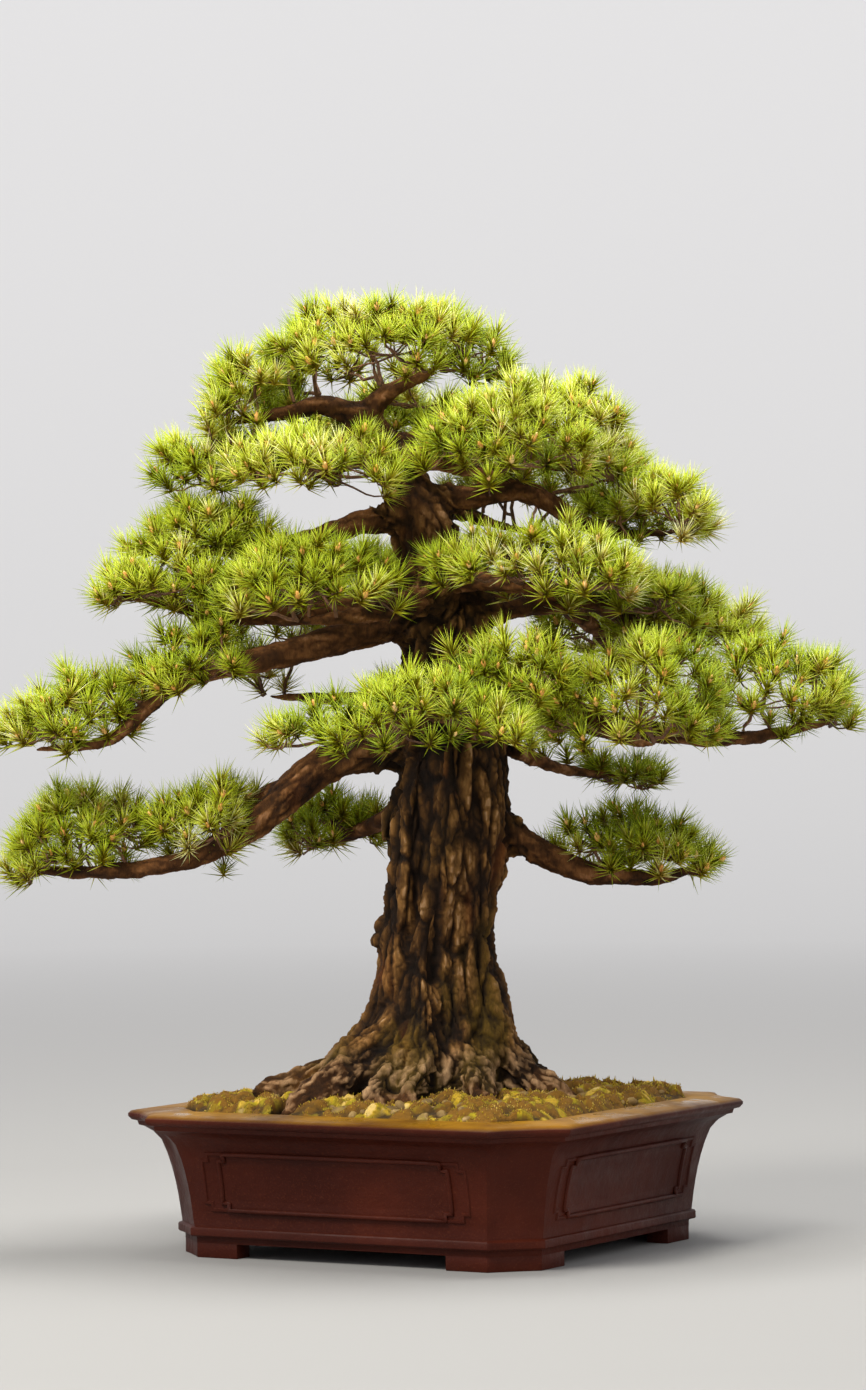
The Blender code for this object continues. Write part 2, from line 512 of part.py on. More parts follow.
# The boughs, lowest first; a bough's forks follow it.
BOUGHS = (
    # low left bough, with a fork to the back
    ((-0.020, 0.0, 0.505, 0.034), (-0.055, -0.008, 0.499, 0.027), (-0.095, -0.020, 0.490, 0.022),
     (-0.128, -0.030, 0.470, 0.020), (-0.152, -0.040, 0.445, 0.018), (-0.192, -0.045, 0.416, 0.015),
     (-0.236, -0.048, 0.393, 0.012), (-0.292, -0.046, 0.381, 0.010), (-0.350, -0.038, 0.378, 0.008),
     (-0.412, -0.030, 0.382, 0.005)),
    ((-0.140, -0.030, 0.463, 0.013), (-0.180, -0.005, 0.447, 0.010), (-0.220, 0.030, 0.432, 0.007),
     (-0.262, 0.052, 0.420, 0.004)),
    # dead stub and the small bough behind it
    ((-0.020, 0.0, 0.462, 0.016), (-0.045, -0.006, 0.432, 0.010), (-0.053, -0.008, 0.403, 0.005)),
    ((-0.015, 0.025, 0.440, 0.016), (-0.060, 0.075, 0.420, 0.010), (-0.092, 0.112, 0.405, 0.007),
     (-0.120, 0.140, 0.400, 0.004)),
    # low right bough and its fork
    ((0.042, 0.0, 0.440, 0.022), (0.070, 0.0, 0.418, 0.018), (0.096, -0.003, 0.398, 0.016),
     (0.126, -0.010, 0.382, 0.014), (0.162, -0.018, 0.369, 0.012), (0.193, -0.020, 0.369, 0.010),
     (0.221, -0.020, 0.3635, 0.008), (0.249, -0.020, 0.3730, 0.006), (0.276, -0.020, 0.3710, 0.004)),
    ((0.150, -0.015, 0.368, 0.009), (0.190, 0.010, 0.383, 0.007), (0.232, 0.030, 0.387, 0.004)),
    # thin bough behind on the right
    ((0.060, 0.020, 0.505, 0.012), (0.090, 0.035, 0.490, 0.009), (0.120, 0.062, 0.477, 0.008),
     (0.160, 0.100, 0.468, 0.006), (0.205, 0.125, 0.464, 0.004)),
    # front bough, which forks to both sides
    ((0.012, -0.025, 0.548, 0.026), (-0.006, -0.090, 0.545, 0.018), (-0.040, -0.160, 0.527, 0.013),
     (-0.075, -0.225, 0.508, 0.007)),
    ((-0.010, -0.105, 0.541, 0.012), (0.035, -0.165, 0.522, 0.009), (0.070, -0.225, 0.508, 0.005)),
    # back low bough and forks
    ((0.022, 0.025, 0.530, 0.026), (0.038, 0.090, 0.532, 0.018), (0.048, 0.165, 0.520, 0.012),
     (0.050, 0.250, 0.512, 0.006)),
    ((0.030, 0.060, 0.530, 0.014), (-0.040, 0.110, 0.545, 0.010), (-0.110, 0.150, 0.548, 0.007),
     (-0.175, 0.180, 0.550, 0.004)),
    # wide right bough
    ((0.040, 0.0, 0.553, 0.026), (0.100, -0.020, 0.540, 0.019), (0.165, -0.050, 0.520, 0.015),
     (0.240, -0.060, 0.509, 0.011), (0.300, -0.050, 0.504, 0.009), (0.360, -0.030, 0.512, 0.007),
     (0.400, -0.020, 0.522, 0.004)),
    ((0.155, -0.046, 0.523, 0.011), (0.190, -0.100, 0.505, 0.008), (0.215, -0.150, 0.500, 0.004)),
    # left long bough that sweeps down
    ((0.005, 0.0, 0.632, 0.026), (-0.060, -0.018, 0.6170, 0.019), (-0.129, -0.040, 0.5970, 0.016),
     (-0.193, -0.058, 0.5820, 0.013), (-0.240, -0.068, 0.5720, 0.011), (-0.270, -0.075, 0.5530, 0.010),
     (-0.306, -0.080, 0.5190, 0.008), (-0.328, -0.080, 0.5060, 0.007), (-0.395, -0.080, 0.5010, 0.004)),
    # left tier bough above it
    ((0.004, 0.010, 0.646, 0.022), (-0.063, 0.022, 0.6385, 0.016), (-0.129, 0.020, 0.6350, 0.013),
     (-0.190, 0.005, 0.6310, 0.010), (-0.260, -0.020, 0.6420, 0.007), (-0.318, -0.035, 0.6560, 0.004)),
    # right middle bough, back right fork
    ((0.020, 0.005, 0.632, 0.024), (0.070, -0.008, 0.6390, 0.017), (0.119, -0.012, 0.6440, 0.014),
     (0.166, -0.005, 0.6420, 0.012), (0.205, 0.025, 0.6200, 0.009), (0.255, 0.060, 0.6100, 0.006),
     (0.300, 0.080, 0.6130, 0.004)),
    ((0.130, -0.010, 0.642, 0.010), (0.170, 0.060, 0.610, 0.008), (0.185, 0.130, 0.590, 0.006),
     (0.190, 0.185, 0.588, 0.004)),
    # front middle boughs, left and right
    ((0.010, -0.015, 0.652, 0.020), (-0.030, -0.065, 0.640, 0.013), (-0.080, -0.105, 0.628, 0.009),
     (-0.130, -0.130, 0.624, 0.005)),
    ((0.012, -0.015, 0.668, 0.018), (0.045, -0.060, 0.664, 0.012), (0.090, -0.095, 0.656, 0.008),
     (0.140, -0.120, 0.654, 0.004)),
    # back middle bough
    ((0.002, 0.020, 0.660, 0.018), (-0.010, 0.080, 0.662, 0.012), (-0.025, 0.150, 0.658, 0.008),
     (-0.035, 0.210, 0.658, 0.004)),
    # upper right bough with its knuckles
    ((-0.010, 0.005, 0.738, 0.020), (0.030, 0.003, 0.7450, 0.015), (0.063, 0.0, 0.7520, 0.013),
     (0.091, 0.0, 0.7560, 0.012), (0.124, 0.0, 0.7380, 0.011), (0.166, -0.010, 0.7120, 0.009),
     (0.193, -0.012, 0.7080, 0.007), (0.245, -0.015, 0.7100, 0.004)),
    # upper left tier
    ((-0.012, 0.002, 0.735, 0.018), (-0.070, 0.0, 0.7230, 0.013), (-0.130, 0.0, 0.7050, 0.010),
     (-0.195, 0.0, 0.6960, 0.007), (-0.262, 0.0, 0.7000, 0.004)),
    # upper back right
    ((-0.012, 0.010, 0.745, 0.014), (0.030, 0.060, 0.735, 0.010), (0.070, 0.105, 0.722, 0.006),
     (0.105, 0.130, 0.716, 0.004)),
    # the crown's boughs
    ((-0.050, 0.0, 0.800, 0.017), (-0.075, -0.040, 0.788, 0.011), (-0.100, -0.085, 0.770, 0.007),
     (-0.115, -0.115, 0.764, 0.004)),
    ((-0.045, 0.0, 0.792, 0.016), (-0.005, -0.045, 0.785, 0.011), (0.030, -0.085, 0.772, 0.008),
     (0.070, -0.110, 0.766, 0.004)),
    ((-0.055, 0.0, 0.806, 0.014), (-0.110, 0.0, 0.796, 0.010), (-0.165, 0.0, 0.776, 0.007),
     (-0.215, 0.0, 0.768, 0.004)),
    ((-0.050, 0.010, 0.800, 0.014), (-0.048, 0.060, 0.800, 0.009), (-0.045, 0.110, 0.790, 0.006),
     (-0.045, 0.145, 0.788, 0.004)),
    ((-0.066, 0.0, 0.826, 0.015), (-0.105, -0.006, 0.8420, 0.011), (-0.150, -0.008, 0.8320, 0.008),
     (-0.205, -0.010, 0.8250, 0.005)),
    ((-0.066, 0.0, 0.822, 0.015), (-0.050, -0.006, 0.8480, 0.011), (-0.020, -0.010, 0.8640, 0.008),
     (0.010, -0.010, 0.8740, 0.005)),
    ((-0.050, 0.0, 0.800, 0.012), (0.010, 0.0, 0.806, 0.009), (0.070, 0.0, 0.792, 0.008),
     (0.120, 0.0, 0.778, 0.006), (0.165, 0.0, 0.774, 0.004)),
)


def make_wood(finish):
    """Trunk, surface roots and boughs, grown together into one solid."""
    bm = bmesh.new()
    limb(bm, TRUNK, sides=20, lobes=TRUNK_LOBES, phase=0.6)
    for index, root in enumerate(ROOTS + RIDGES):
        limb(bm, root, sides=12, lobes=TRUNK_LOBES, phase=index)
    for index, bough in enumerate(BOUGHS):
        limb(bm, bough, lobes=BOUGH_LOBES, phase=index * 1.3)
    wood = add_object("trunk_and_boughs", bm, finish)
    remesh = wood.modifiers.new("Grow together", "REMESH")
    remesh.mode = "VOXEL"
    remesh.voxel_size = WOOD_VOXEL
    thin = wood.modifiers.new("Fewer faces", "DECIMATE")
    thin.ratio = WOOD_KEPT
    return settle(wood)


def make_wood_cutters():
    """A plain tube round each limb, a little fatter than the limb, to cut room for it."""
    cutters = []
    for points in (TRUNK,) + ROOTS + RIDGES + BOUGHS:
        lobes = BOUGH_LOBES if points in BOUGHS else TRUNK_LOBES
        facets = 12 if points is TRUNK else 6
        to_flat = 1.0 / math.cos(math.pi / facets)
        wider = [(*row[:3], row[3] * (1.0 + lobes) * to_flat) for row in points]
        if points is TRUNK:
            wider[0] = (*wider[0][:2], wider[0][2] - 2 * WOOD_CLEARANCE, wider[0][3])
        bm = bmesh.new()
        limb(bm, wider, sides=facets, steps=2, grow=WOOD_CLEARANCE * to_flat)
        cutters.append(as_cutter(add_object("cut_limb", bm)))
    return cutters


def cut_room(target, cutters):
    """Cuts an object by every cutter that comes near it."""
    for cutter in cutters:
        if boxes_meet(target, cutter):
            boolean(target, cutter)
    return settle(target)


# ---------------------------------------------------------------- the foliage
# name, side, back, half side, half back, lowest, highest, fall to the side, fall to the back
PADS = (
    ("foliage_apex", -0.048, 0.000, 0.135, 0.105, 0.866, 0.950, 0.00, 0.00),
    ("foliage_crown_left", -0.160, 0.000, 0.078, 0.085, 0.838, 0.908, -0.10, 0.00),
    ("foliage_crown_right", 0.070, -0.095, 0.094, 0.078, 0.756, 0.868, 0.08, 0.00),
    ("foliage_crown_front", -0.108, -0.100, 0.098, 0.070, 0.742, 0.826, 0.00, 0.00),
    ("foliage_crown_back", -0.045, 0.125, 0.110, 0.075, 0.782, 0.868, 0.00, 0.10),
    ("foliage_upper_left", -0.208, 0.003, 0.074, 0.080, 0.762, 0.846, -0.10, 0.00),
    ("foliage_upper_right", 0.138, 0.005, 0.090, 0.095, 0.768, 0.870, 0.25, 0.00),
    ("foliage_shoulder_right", 0.214, -0.015, 0.078, 0.090, 0.696, 0.784, 0.10, 0.00),
    ("foliage_upper_back_right", 0.095, 0.130, 0.095, 0.080, 0.748, 0.832, 0.05, 0.10),
    ("foliage_tier_left_upper", -0.226, 0.000, 0.086, 0.085, 0.694, 0.766, -0.10, 0.00),
    ("foliage_tier_left", -0.252, -0.030, 0.098, 0.085, 0.646, 0.708, -0.10, 0.00),
    ("foliage_middle_left", -0.125, -0.130, 0.100, 0.075, 0.622, 0.712, 0.00, 0.00),
    ("foliage_middle_right", 0.108, -0.120, 0.122, 0.080, 0.652, 0.728, 0.05, 0.00),
    ("foliage_middle_back", -0.025, 0.200, 0.120, 0.080, 0.642, 0.718, 0.00, 0.10),
    ("foliage_back_left", -0.165, 0.150, 0.100, 0.085, 0.606, 0.694, -0.10, 0.05),
    ("foliage_right_upper", 0.246, 0.060, 0.092, 0.090, 0.600, 0.674, 0.12, 0.00),
    ("foliage_back_right", 0.185, 0.166, 0.098, 0.078, 0.588, 0.672, 0.05, 0.10),
    ("foliage_long_left_tip", -0.356, -0.060, 0.082, 0.075, 0.510, 0.586, -0.18, 0.00),
    ("foliage_long_left", -0.236, -0.060, 0.086, 0.080, 0.562, 0.630, -0.25, 0.00),
    ("foliage_front", -0.024, -0.215, 0.140, 0.085, 0.500, 0.578, 0.00, 0.00),
    ("foliage_right_front", 0.190, -0.135, 0.105, 0.095, 0.500, 0.612, 0.00, 0.00),
    ("foliage_right_tip", 0.336, 0.015, 0.096, 0.110, 0.518, 0.614, 0.12, 0.00),
    ("foliage_centre_right", 0.078, -0.165, 0.080, 0.070, 0.548, 0.622, 0.00, 0.00),
    ("foliage_right_inner", 0.200, -0.045, 0.078, 0.080, 0.622, 0.694, 0.10, 0.00),
    ("foliage_back", 0.050, 0.228, 0.130, 0.080, 0.512, 0.596, 0.00, 0.05),
    ("foliage_low_left_tip", -0.350, -0.022, 0.090, 0.090, 0.380, 0.476, -0.10, 0.00),
    ("foliage_low_left", -0.232, -0.045, 0.070, 0.080, 0.400, 0.478, 0.00, 0.00),
    ("foliage_low_back_left", -0.100, 0.135, 0.070, 0.070, 0.395, 0.458, 0.00, 0.05),
    ("foliage_low_right", 0.195, 0.000, 0.105, 0.082, 0.374, 0.441, 0.00, 0.00),
    ("foliage_low_back_right", 0.202, 0.125, 0.060, 0.060, 0.462, 0.503, 0.00, 0.00),
)
PAD_SEGMENTS = 16
# share of the pad's width and height of each ring, from the underside to the top
PAD_ROWS = ((0.82, 0.0), (1.00, 0.20), (0.92, 0.55), (0.66, 0.84), (0.34, 0.97))


def pad_mesh(row, grow=0.0):
    """A lumpy dome with a flat underside: the outline of one cloud of needles."""
    name, side, back, half_side, half_back, low, high, fall_side, fall_back = row
    chance = random.Random(name)
    phases = [chance.uniform(0.0, 2 * math.pi) for _ in range(4)]
    height = high - low

    def spot(share, rise, angle):
        lobes = 1.0 + 0.07 * math.sin(3 * angle + phases[0]) + 0.05 * math.sin(5 * angle + phases[1])
        lumps = 0.10 * math.sin(4 * angle + phases[2]) * math.sin(3.0 * share + phases[3])
        away_side = math.cos(angle) * share * lobes * (half_side + grow)
        away_back = math.sin(angle) * share * lobes * (half_back + grow)
        up = low + height * (rise + (lumps if rise > 0.5 else 0.0) * share)
        up -= abs(fall_side) * away_side * (1 if fall_side > 0 else -1) + fall_back * away_back
        up += grow if rise > 0.2 else -grow
        return tree_point(side + away_side, back + away_back, up)

    bm = bmesh.new()
    rings = []
    for share, rise in PAD_ROWS:
        rings.append([bm.verts.new(spot(share, rise, 2 * math.pi * k / PAD_SEGMENTS))
                      for k in range(PAD_SEGMENTS)])
    for lower, upper in zip(rings, rings[1:]):
        for k in range(PAD_SEGMENTS):
            m = (k + 1) % PAD_SEGMENTS
            bm.faces.new((lower[k], lower[m], upper[m], upper[k]))
    under = bm.verts.new(spot(0.0, 0.0, 0.0))
    crest = bm.verts.new(spot(0.0, 1.0, 0.0))
    for k in range(PAD_SEGMENTS):
        m = (k + 1) % PAD_SEGMENTS
        bm.faces.new((rings[0][m], rings[0][k], under))
        bm.faces.new((rings[-1][k], rings[-1][m], crest))
    bmesh.ops.triangulate(bm, faces=bm.faces)
    return bm


def make_foliage(finish, wood_cutters):
    """The pads of needles, each hollowed where a bough runs in and cut back from its neighbours."""
    swollen = []
    for row in PADS:
        pad = add_object(row[0], pad_mesh(row), finish, 60.0)
        cut_room(pad, swollen + wood_cutters)
        swollen.append(as_cutter(add_object("cut_" + row[0], pad_mesh(row, PAD_CLEARANCE))))


# ---------------------------------------------------------------- the whole plant
FEET = (("pot_foot_front_right", 1, -1), ("pot_foot_front_left", -1, -1),
        ("pot_foot_back_right", 1, 1), ("pot_foot_back_left", -1, 1))
STONES = (("stone_front_left", -0.092, -0.150, 0.013, 0.4), ("stone_front", -0.046, -0.163, 0.011, 1.2),
          ("stone_front_middle", 0.010, -0.152, 0.010, 2.1), ("stone_front_right", 0.090, -0.112, 0.012, 0.2),
          ("stone_back", -0.070, 0.150, 0.014, 0.9))


def build():
    for stale in list(bpy.data.objects):
        bpy.data.objects.remove(stale, do_unlink=True)

    clay = material("Stoneware", (0.075, 0.026, 0.018), 0.42)
    bark = material("Bark", (0.090, 0.050, 0.028), 0.88)
    needles = material("Needles", (0.130, 0.240, 0.035), 0.55)
    moss = material("Moss", (0.200, 0.190, 0.025), 0.95)
    earth = material("Soil", (0.045, 0.030, 0.020), 0.95)
    grit = material("Grit", (0.260, 0.200, 0.140), 0.90)
    pebble = material("Pebble", (0.230, 0.200, 0.160), 0.80)
    plastic = material("Screen", (0.020, 0.022, 0.022), 0.50)

    make_pot(clay)
    for name, side_x, side_y in FEET:
        make_foot(name, side_x, side_y, clay)
    make_wood(bark)
    wood_cutters = make_wood_cutters()
    drain_screen("drain_screen_left", -HOLE_X, plastic)
    drain_screen("drain_screen_right", HOLE_X, plastic)
    make_filling(grit, earth, wood_cutters)

    moss_cutters = list(wood_cutters)
    for name, side, back, size, turn in STONES:
        stone = stone_shape(name, side, back, size, turn, 0.0, pebble)
        cut_room(stone, wood_cutters)
        moss_cutters.append(as_cutter(stone_shape("cut_" + name, side, back, size, turn, 0.0008)))
    make_moss(moss, moss_cutters)
    make_foliage(needles, wood_cutters)


build()
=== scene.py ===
# %% [markdown]
# # A pine bonsai in a stoneware pot
#
# This lesson dresses a plain solid model of a bonsai.  The solids come from the frame: a pot, what
# it holds, the wood, and one lump for each pad of needles.  Each cell makes one thing that you would
# find on the real tree: the fired clay, the moss, the furrowed bark, the twigs, and the needles.

# %% Load the frame
import math

import bpy
import numpy as np
from mathutils import Matrix, Vector, noise
from mathutils.bvhtree import BVHTree
from mathutils.kdtree import KDTree


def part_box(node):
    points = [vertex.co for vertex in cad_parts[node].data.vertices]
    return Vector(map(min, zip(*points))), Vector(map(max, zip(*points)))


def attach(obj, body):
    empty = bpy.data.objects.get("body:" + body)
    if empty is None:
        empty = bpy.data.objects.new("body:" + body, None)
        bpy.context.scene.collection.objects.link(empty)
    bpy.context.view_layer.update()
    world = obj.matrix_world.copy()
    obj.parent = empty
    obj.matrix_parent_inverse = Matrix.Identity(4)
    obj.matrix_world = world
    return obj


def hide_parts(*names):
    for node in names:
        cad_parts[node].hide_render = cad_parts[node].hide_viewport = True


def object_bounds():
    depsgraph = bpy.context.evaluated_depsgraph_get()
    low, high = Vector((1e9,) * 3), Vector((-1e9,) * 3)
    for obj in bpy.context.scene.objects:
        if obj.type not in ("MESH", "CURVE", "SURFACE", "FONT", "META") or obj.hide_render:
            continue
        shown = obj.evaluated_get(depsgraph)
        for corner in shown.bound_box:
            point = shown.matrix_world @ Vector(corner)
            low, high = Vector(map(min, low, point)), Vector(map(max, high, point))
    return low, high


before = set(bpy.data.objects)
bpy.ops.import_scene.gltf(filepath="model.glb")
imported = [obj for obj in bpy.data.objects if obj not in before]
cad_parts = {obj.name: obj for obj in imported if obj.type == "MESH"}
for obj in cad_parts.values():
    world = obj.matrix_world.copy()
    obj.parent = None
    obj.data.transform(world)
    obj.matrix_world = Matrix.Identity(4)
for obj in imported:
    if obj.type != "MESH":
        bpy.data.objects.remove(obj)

CAD_LOW, CAD_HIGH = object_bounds()
MM = 0.001
UP = Vector((0.0, 0.0, 1.0))
BODY = "root"
VIEW_TURN = math.radians(30.0)
RIGHT = Vector((math.cos(VIEW_TURN), math.sin(VIEW_TURN), 0.0))
AWAY = Vector((-math.sin(VIEW_TURN), math.cos(VIEW_TURN), 0.0))
PADS = sorted(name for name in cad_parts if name.startswith("foliage_"))
STONES = sorted(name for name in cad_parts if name.startswith("stone_"))
print("pads of needles:", len(PADS), "stones:", len(STONES), "height:", round(CAD_HIGH.z, 3))

# %% [markdown]
# ## Working by hand, in code
#
# Operators act on whatever is selected, so every step starts by selecting one object and nothing
# else.  A copy of a solid has its loose triangles merged first: only then do its faces share points,
# so that they can be smoothed, remeshed or pushed about together.

# %% Small helpers for objects
def select_only(piece):
    """Makes one object the only one that operators act on."""
    if bpy.context.mode != "OBJECT":
        bpy.ops.object.mode_set(mode="OBJECT")
    bpy.ops.object.select_all(action="DESELECT")
    piece.select_set(True)
    bpy.context.view_layer.objects.active = piece


def apply_modifier(piece, kind, **settings):
    """Adds a modifier and makes its result the object's own mesh."""
    select_only(piece)
    modifier = piece.modifiers.new(kind.title(), kind)
    for key, value in settings.items():
        setattr(modifier, key, value)
    bpy.ops.object.modifier_apply(modifier=modifier.name)


def merged_copy(node, name):
    """A copy of a solid from the frame, with its triangles joined at their corners."""
    piece = bpy.data.objects.new(name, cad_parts[node].data.copy())
    bpy.context.scene.collection.objects.link(piece)
    piece.data.materials.clear()
    select_only(piece)
    bpy.ops.mesh.customdata_custom_splitnormals_clear()
    bpy.ops.object.mode_set(mode="EDIT")
    bpy.ops.mesh.select_all(action="SELECT")
    bpy.ops.mesh.remove_doubles(threshold=0.02 * MM)
    bpy.ops.object.mode_set(mode="OBJECT")
    return piece


def points_of(piece):
    """The object's points as an array."""
    spots = np.empty(len(piece.data.vertices) * 3, np.float32)
    piece.data.vertices.foreach_get("co", spots)
    return spots.reshape(-1, 3).astype(float)


def normals_of(piece):
    """The outward direction at each of the object's points."""
    out = np.empty(len(piece.data.vertices) * 3, np.float32)
    piece.data.vertex_normals.foreach_get("vector", out)
    return out.reshape(-1, 3).astype(float)


def move_points(piece, spots):
    """Puts the object's points at new places."""
    piece.data.vertices.foreach_set("co", np.asarray(spots, np.float32).ravel())
    piece.data.update()


def smooth_all(piece, angle=None):
    """Shades a piece smooth, all over or up to an angle between its faces."""
    select_only(piece)
    if angle is None:
        bpy.ops.object.shade_smooth()
    else:
        bpy.ops.object.shade_smooth_by_angle(angle=math.radians(angle))


def finish_piece(piece, finish, slot, *nodes):
    """Gives a piece its finish and its place in the frame."""
    piece.data.materials.clear()
    piece.data.materials.append(finish)
    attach(piece, BODY)
    if nodes:
        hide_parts(*nodes)
    print(piece.name, "faces:", len(piece.data.polygons))


# %% [markdown]
# Needles, buds, sprigs of moss and pebbles repeat by the hundred.  Each is modelled once, as a small
# object, and read as an array of points and faces.  Copies are then turned and moved all at once and
# written as one mesh, which is far quicker than joining thousands of objects.

# %% Copies of a small model
def read_model(piece):
    """Takes a small model's points and triangles, and removes it."""
    apply_modifier(piece, "TRIANGULATE")
    spots = points_of(piece)
    faces = np.array([list(face.vertices) for face in piece.data.polygons])
    bpy.data.objects.remove(piece, do_unlink=True)
    return spots, faces


def turned_to(directions, rolls):
    """Matrices that turn +Z to each direction, after a roll about it."""
    ahead = directions / np.linalg.norm(directions, axis=1, keepdims=True)
    helper = np.where(np.abs(ahead[:, 2:3]) < 0.9, (0.0, 0.0, 1.0), (1.0, 0.0, 0.0))
    first = np.cross(helper, ahead)
    first /= np.linalg.norm(first, axis=1, keepdims=True)
    second = np.cross(ahead, first)
    cos, sin = np.cos(rolls)[:, None], np.sin(rolls)[:, None]
    return np.stack([first * cos + second * sin, second * cos - first * sin, ahead], axis=2)


def copies(model, directions, rolls, sizes, places):
    """The points of every copy of a model (its own points, or one set for each copy)."""
    spots = model if model.ndim == 3 else model[None]
    turned = np.einsum("nij,nkj->nki", turned_to(directions, rolls), spots * sizes[:, None, None])
    return turned + places[:, None, :]


def write_mesh(name, spots, faces, uv=None):
    """An object from arrays: points (copies, points, 3), the faces of one copy, and a UV for each point."""
    many, each = spots.shape[:2]
    corners = (faces[None] + (np.arange(many) * each)[:, None, None]).reshape(-1, 3)
    mesh = bpy.data.meshes.new(name)
    mesh.vertices.add(many * each)
    mesh.vertices.foreach_set("co", spots.astype(np.float32).ravel())
    mesh.loops.add(corners.size)
    mesh.loops.foreach_set("vertex_index", corners.ravel().astype(np.int32))
    mesh.polygons.add(len(corners))
    mesh.polygons.foreach_set("loop_start", np.arange(0, corners.size, 3, dtype=np.int32))
    if uv is not None:
        layer = mesh.uv_layers.new(name="OFBake")
        layer.uv.foreach_set("vector", uv.reshape(-1, 2)[corners.ravel()].astype(np.float32).ravel())
    mesh.update(calc_edges=True)
    mesh.validate()
    piece = bpy.data.objects.new(name, mesh)
    bpy.context.scene.collection.objects.link(piece)
    return piece


# %% [markdown]
# ## Finishes
#
# A finish is a small tree of nodes.  The helpers below add a node and link its sockets in one line,
# and give colours as the eye reads them on a screen, from 0 to 255, turned into the linear values
# that the renderer works with.

# %% Small helpers for finishes
def tint(red, green, blue):
    """A screen colour as a linear one."""
    return tuple((c / 255.0 / 12.92) if c < 10.3 else ((c / 255.0 + 0.055) / 1.055) ** 2.4
                 for c in (red, green, blue)) + (1.0,)


def new_finish(name, roughness):
    """An empty Principled finish: the material, its node tree and its shader."""
    finish = bpy.data.materials.new(name)
    finish.use_nodes = True
    shader = finish.node_tree.nodes["Principled BSDF"]
    shader.inputs["Roughness"].default_value = roughness
    return finish, finish.node_tree, shader


def add_node(tree, kind, options=None, **sockets):
    """Adds a node; each named socket takes a link or a value."""
    made = tree.nodes.new("ShaderNode" + kind)
    for key, value in (options or {}).items():
        setattr(made, key, value)
    for key, value in sockets.items():
        socket = made.inputs[key.replace("_", " ")]
        if isinstance(value, bpy.types.NodeSocket):
            tree.links.new(value, socket)
        else:
            socket.default_value = value
    return made


def object_place(tree, stretch=(1.0, 1.0, 1.0)):
    """The point on the object, stretched along the axes where a pattern is long."""
    place = add_node(tree, "TexCoord")
    return add_node(tree, "Mapping", Vector=place.outputs["Object"], Scale=stretch).outputs["Vector"]


def noise_value(tree, place, scale, detail=3.0, roughness=0.55):
    """A cloudy pattern from 0 to 1."""
    made = add_node(tree, "TexNoise", Vector=place, Scale=scale, Detail=detail, Roughness=roughness)
    return made.outputs["Fac"]


def remap(tree, value, low, high, to_low=0.0, to_high=1.0):
    """Stretches low..high to another range, and cuts off what lies beyond."""
    made = add_node(tree, "MapRange", Value=value)
    for key, number in (("From Min", low), ("From Max", high), ("To Min", to_low), ("To Max", to_high)):
        made.inputs[key].default_value = number
    return made.outputs["Result"]


def ramp(tree, value, *stops):
    """Colours along a value: each stop is (place, colour)."""
    made = add_node(tree, "ValToRGB", Fac=value)
    band = made.color_ramp
    while len(band.elements) < len(stops):
        band.elements.new(0.5)
    for element, (place, colour) in zip(band.elements, stops):
        element.position = place
        element.color = colour
    return made.outputs["Color"]


def mixed(tree, share, first, second, way="MIX"):
    """Mixes two colours by a share."""
    made = tree.nodes.new("ShaderNodeMix")
    made.data_type = "RGBA"
    made.blend_type = way
    for index, value in ((0, share), (6, first), (7, second)):
        if isinstance(value, bpy.types.NodeSocket):
            tree.links.new(value, made.inputs[index])
        else:
            made.inputs[index].default_value = value
    return made.outputs[2]


def product(tree, first, second):
    """Multiplies two values."""
    made = tree.nodes.new("ShaderNodeMath")
    made.operation = "MULTIPLY"
    for index, value in enumerate((first, second)):
        if isinstance(value, bpy.types.NodeSocket):
            tree.links.new(value, made.inputs[index])
        else:
            made.inputs[index].default_value = value
    return made.outputs[0]


def bumped(tree, shader, *layers):
    """Raises the surface by each (value, height in metres) in turn."""
    normal = None
    for value, height in layers:
        made = add_node(tree, "Bump", Height=value, Distance=height)
        if normal is not None:
            tree.links.new(normal, made.inputs["Normal"])
        normal = made.outputs["Normal"]
    tree.links.new(normal, shader.inputs["Normal"])


# %% [markdown]
# ## The camera
#
# A long lens from a few metres away flattens the tree as a careful portrait does.  It looks almost
# level, over the corner of the pot, and it is rolled by half a degree.

# %% Camera
LENS_MM = 134.8
SENSOR_MM = 36.0
CAMERA_DISTANCE = 5.2036
CAMERA_HEIGHT = 0.5645
CAMERA_PITCH = math.radians(-0.155)
CAMERA_ROLL = math.radians(-0.6147)

lens = bpy.data.cameras.new("camera")
lens.lens = LENS_MM
lens.sensor_width = SENSOR_MM
lens.sensor_fit = "AUTO"
lens.clip_end = 100.0
camera = bpy.data.objects.new("camera", lens)
bpy.context.scene.collection.objects.link(camera)
camera.location = UP * CAMERA_HEIGHT - AWAY * CAMERA_DISTANCE
level = Matrix.Rotation(VIEW_TURN, 4, "Z") @ Matrix.Rotation(math.pi / 2 + CAMERA_PITCH, 4, "X")
camera.rotation_euler = (level @ Matrix.Rotation(CAMERA_ROLL, 4, "Z")).to_euler()
bpy.context.scene.camera = camera
print("camera at", [round(v, 3) for v in camera.location])

# %% [markdown]
# ## The studio
#
# The tree stands on a pale floor that curves up into a round wall, so that no line crosses the
# picture behind it, from whichever side it is seen.  You would do this by hand by extruding the rim
# of a disc outwards and upwards a few times, along a quarter of a circle.  The paper glows a little
# more the further it is from the tree, where the lamps no longer reach it.

# %% Floor and wall
FLOOR_RADIUS = 6.0
WALL_BEND = 3.0
WALL_TOP = 9.0
BEND_STEPS = 12

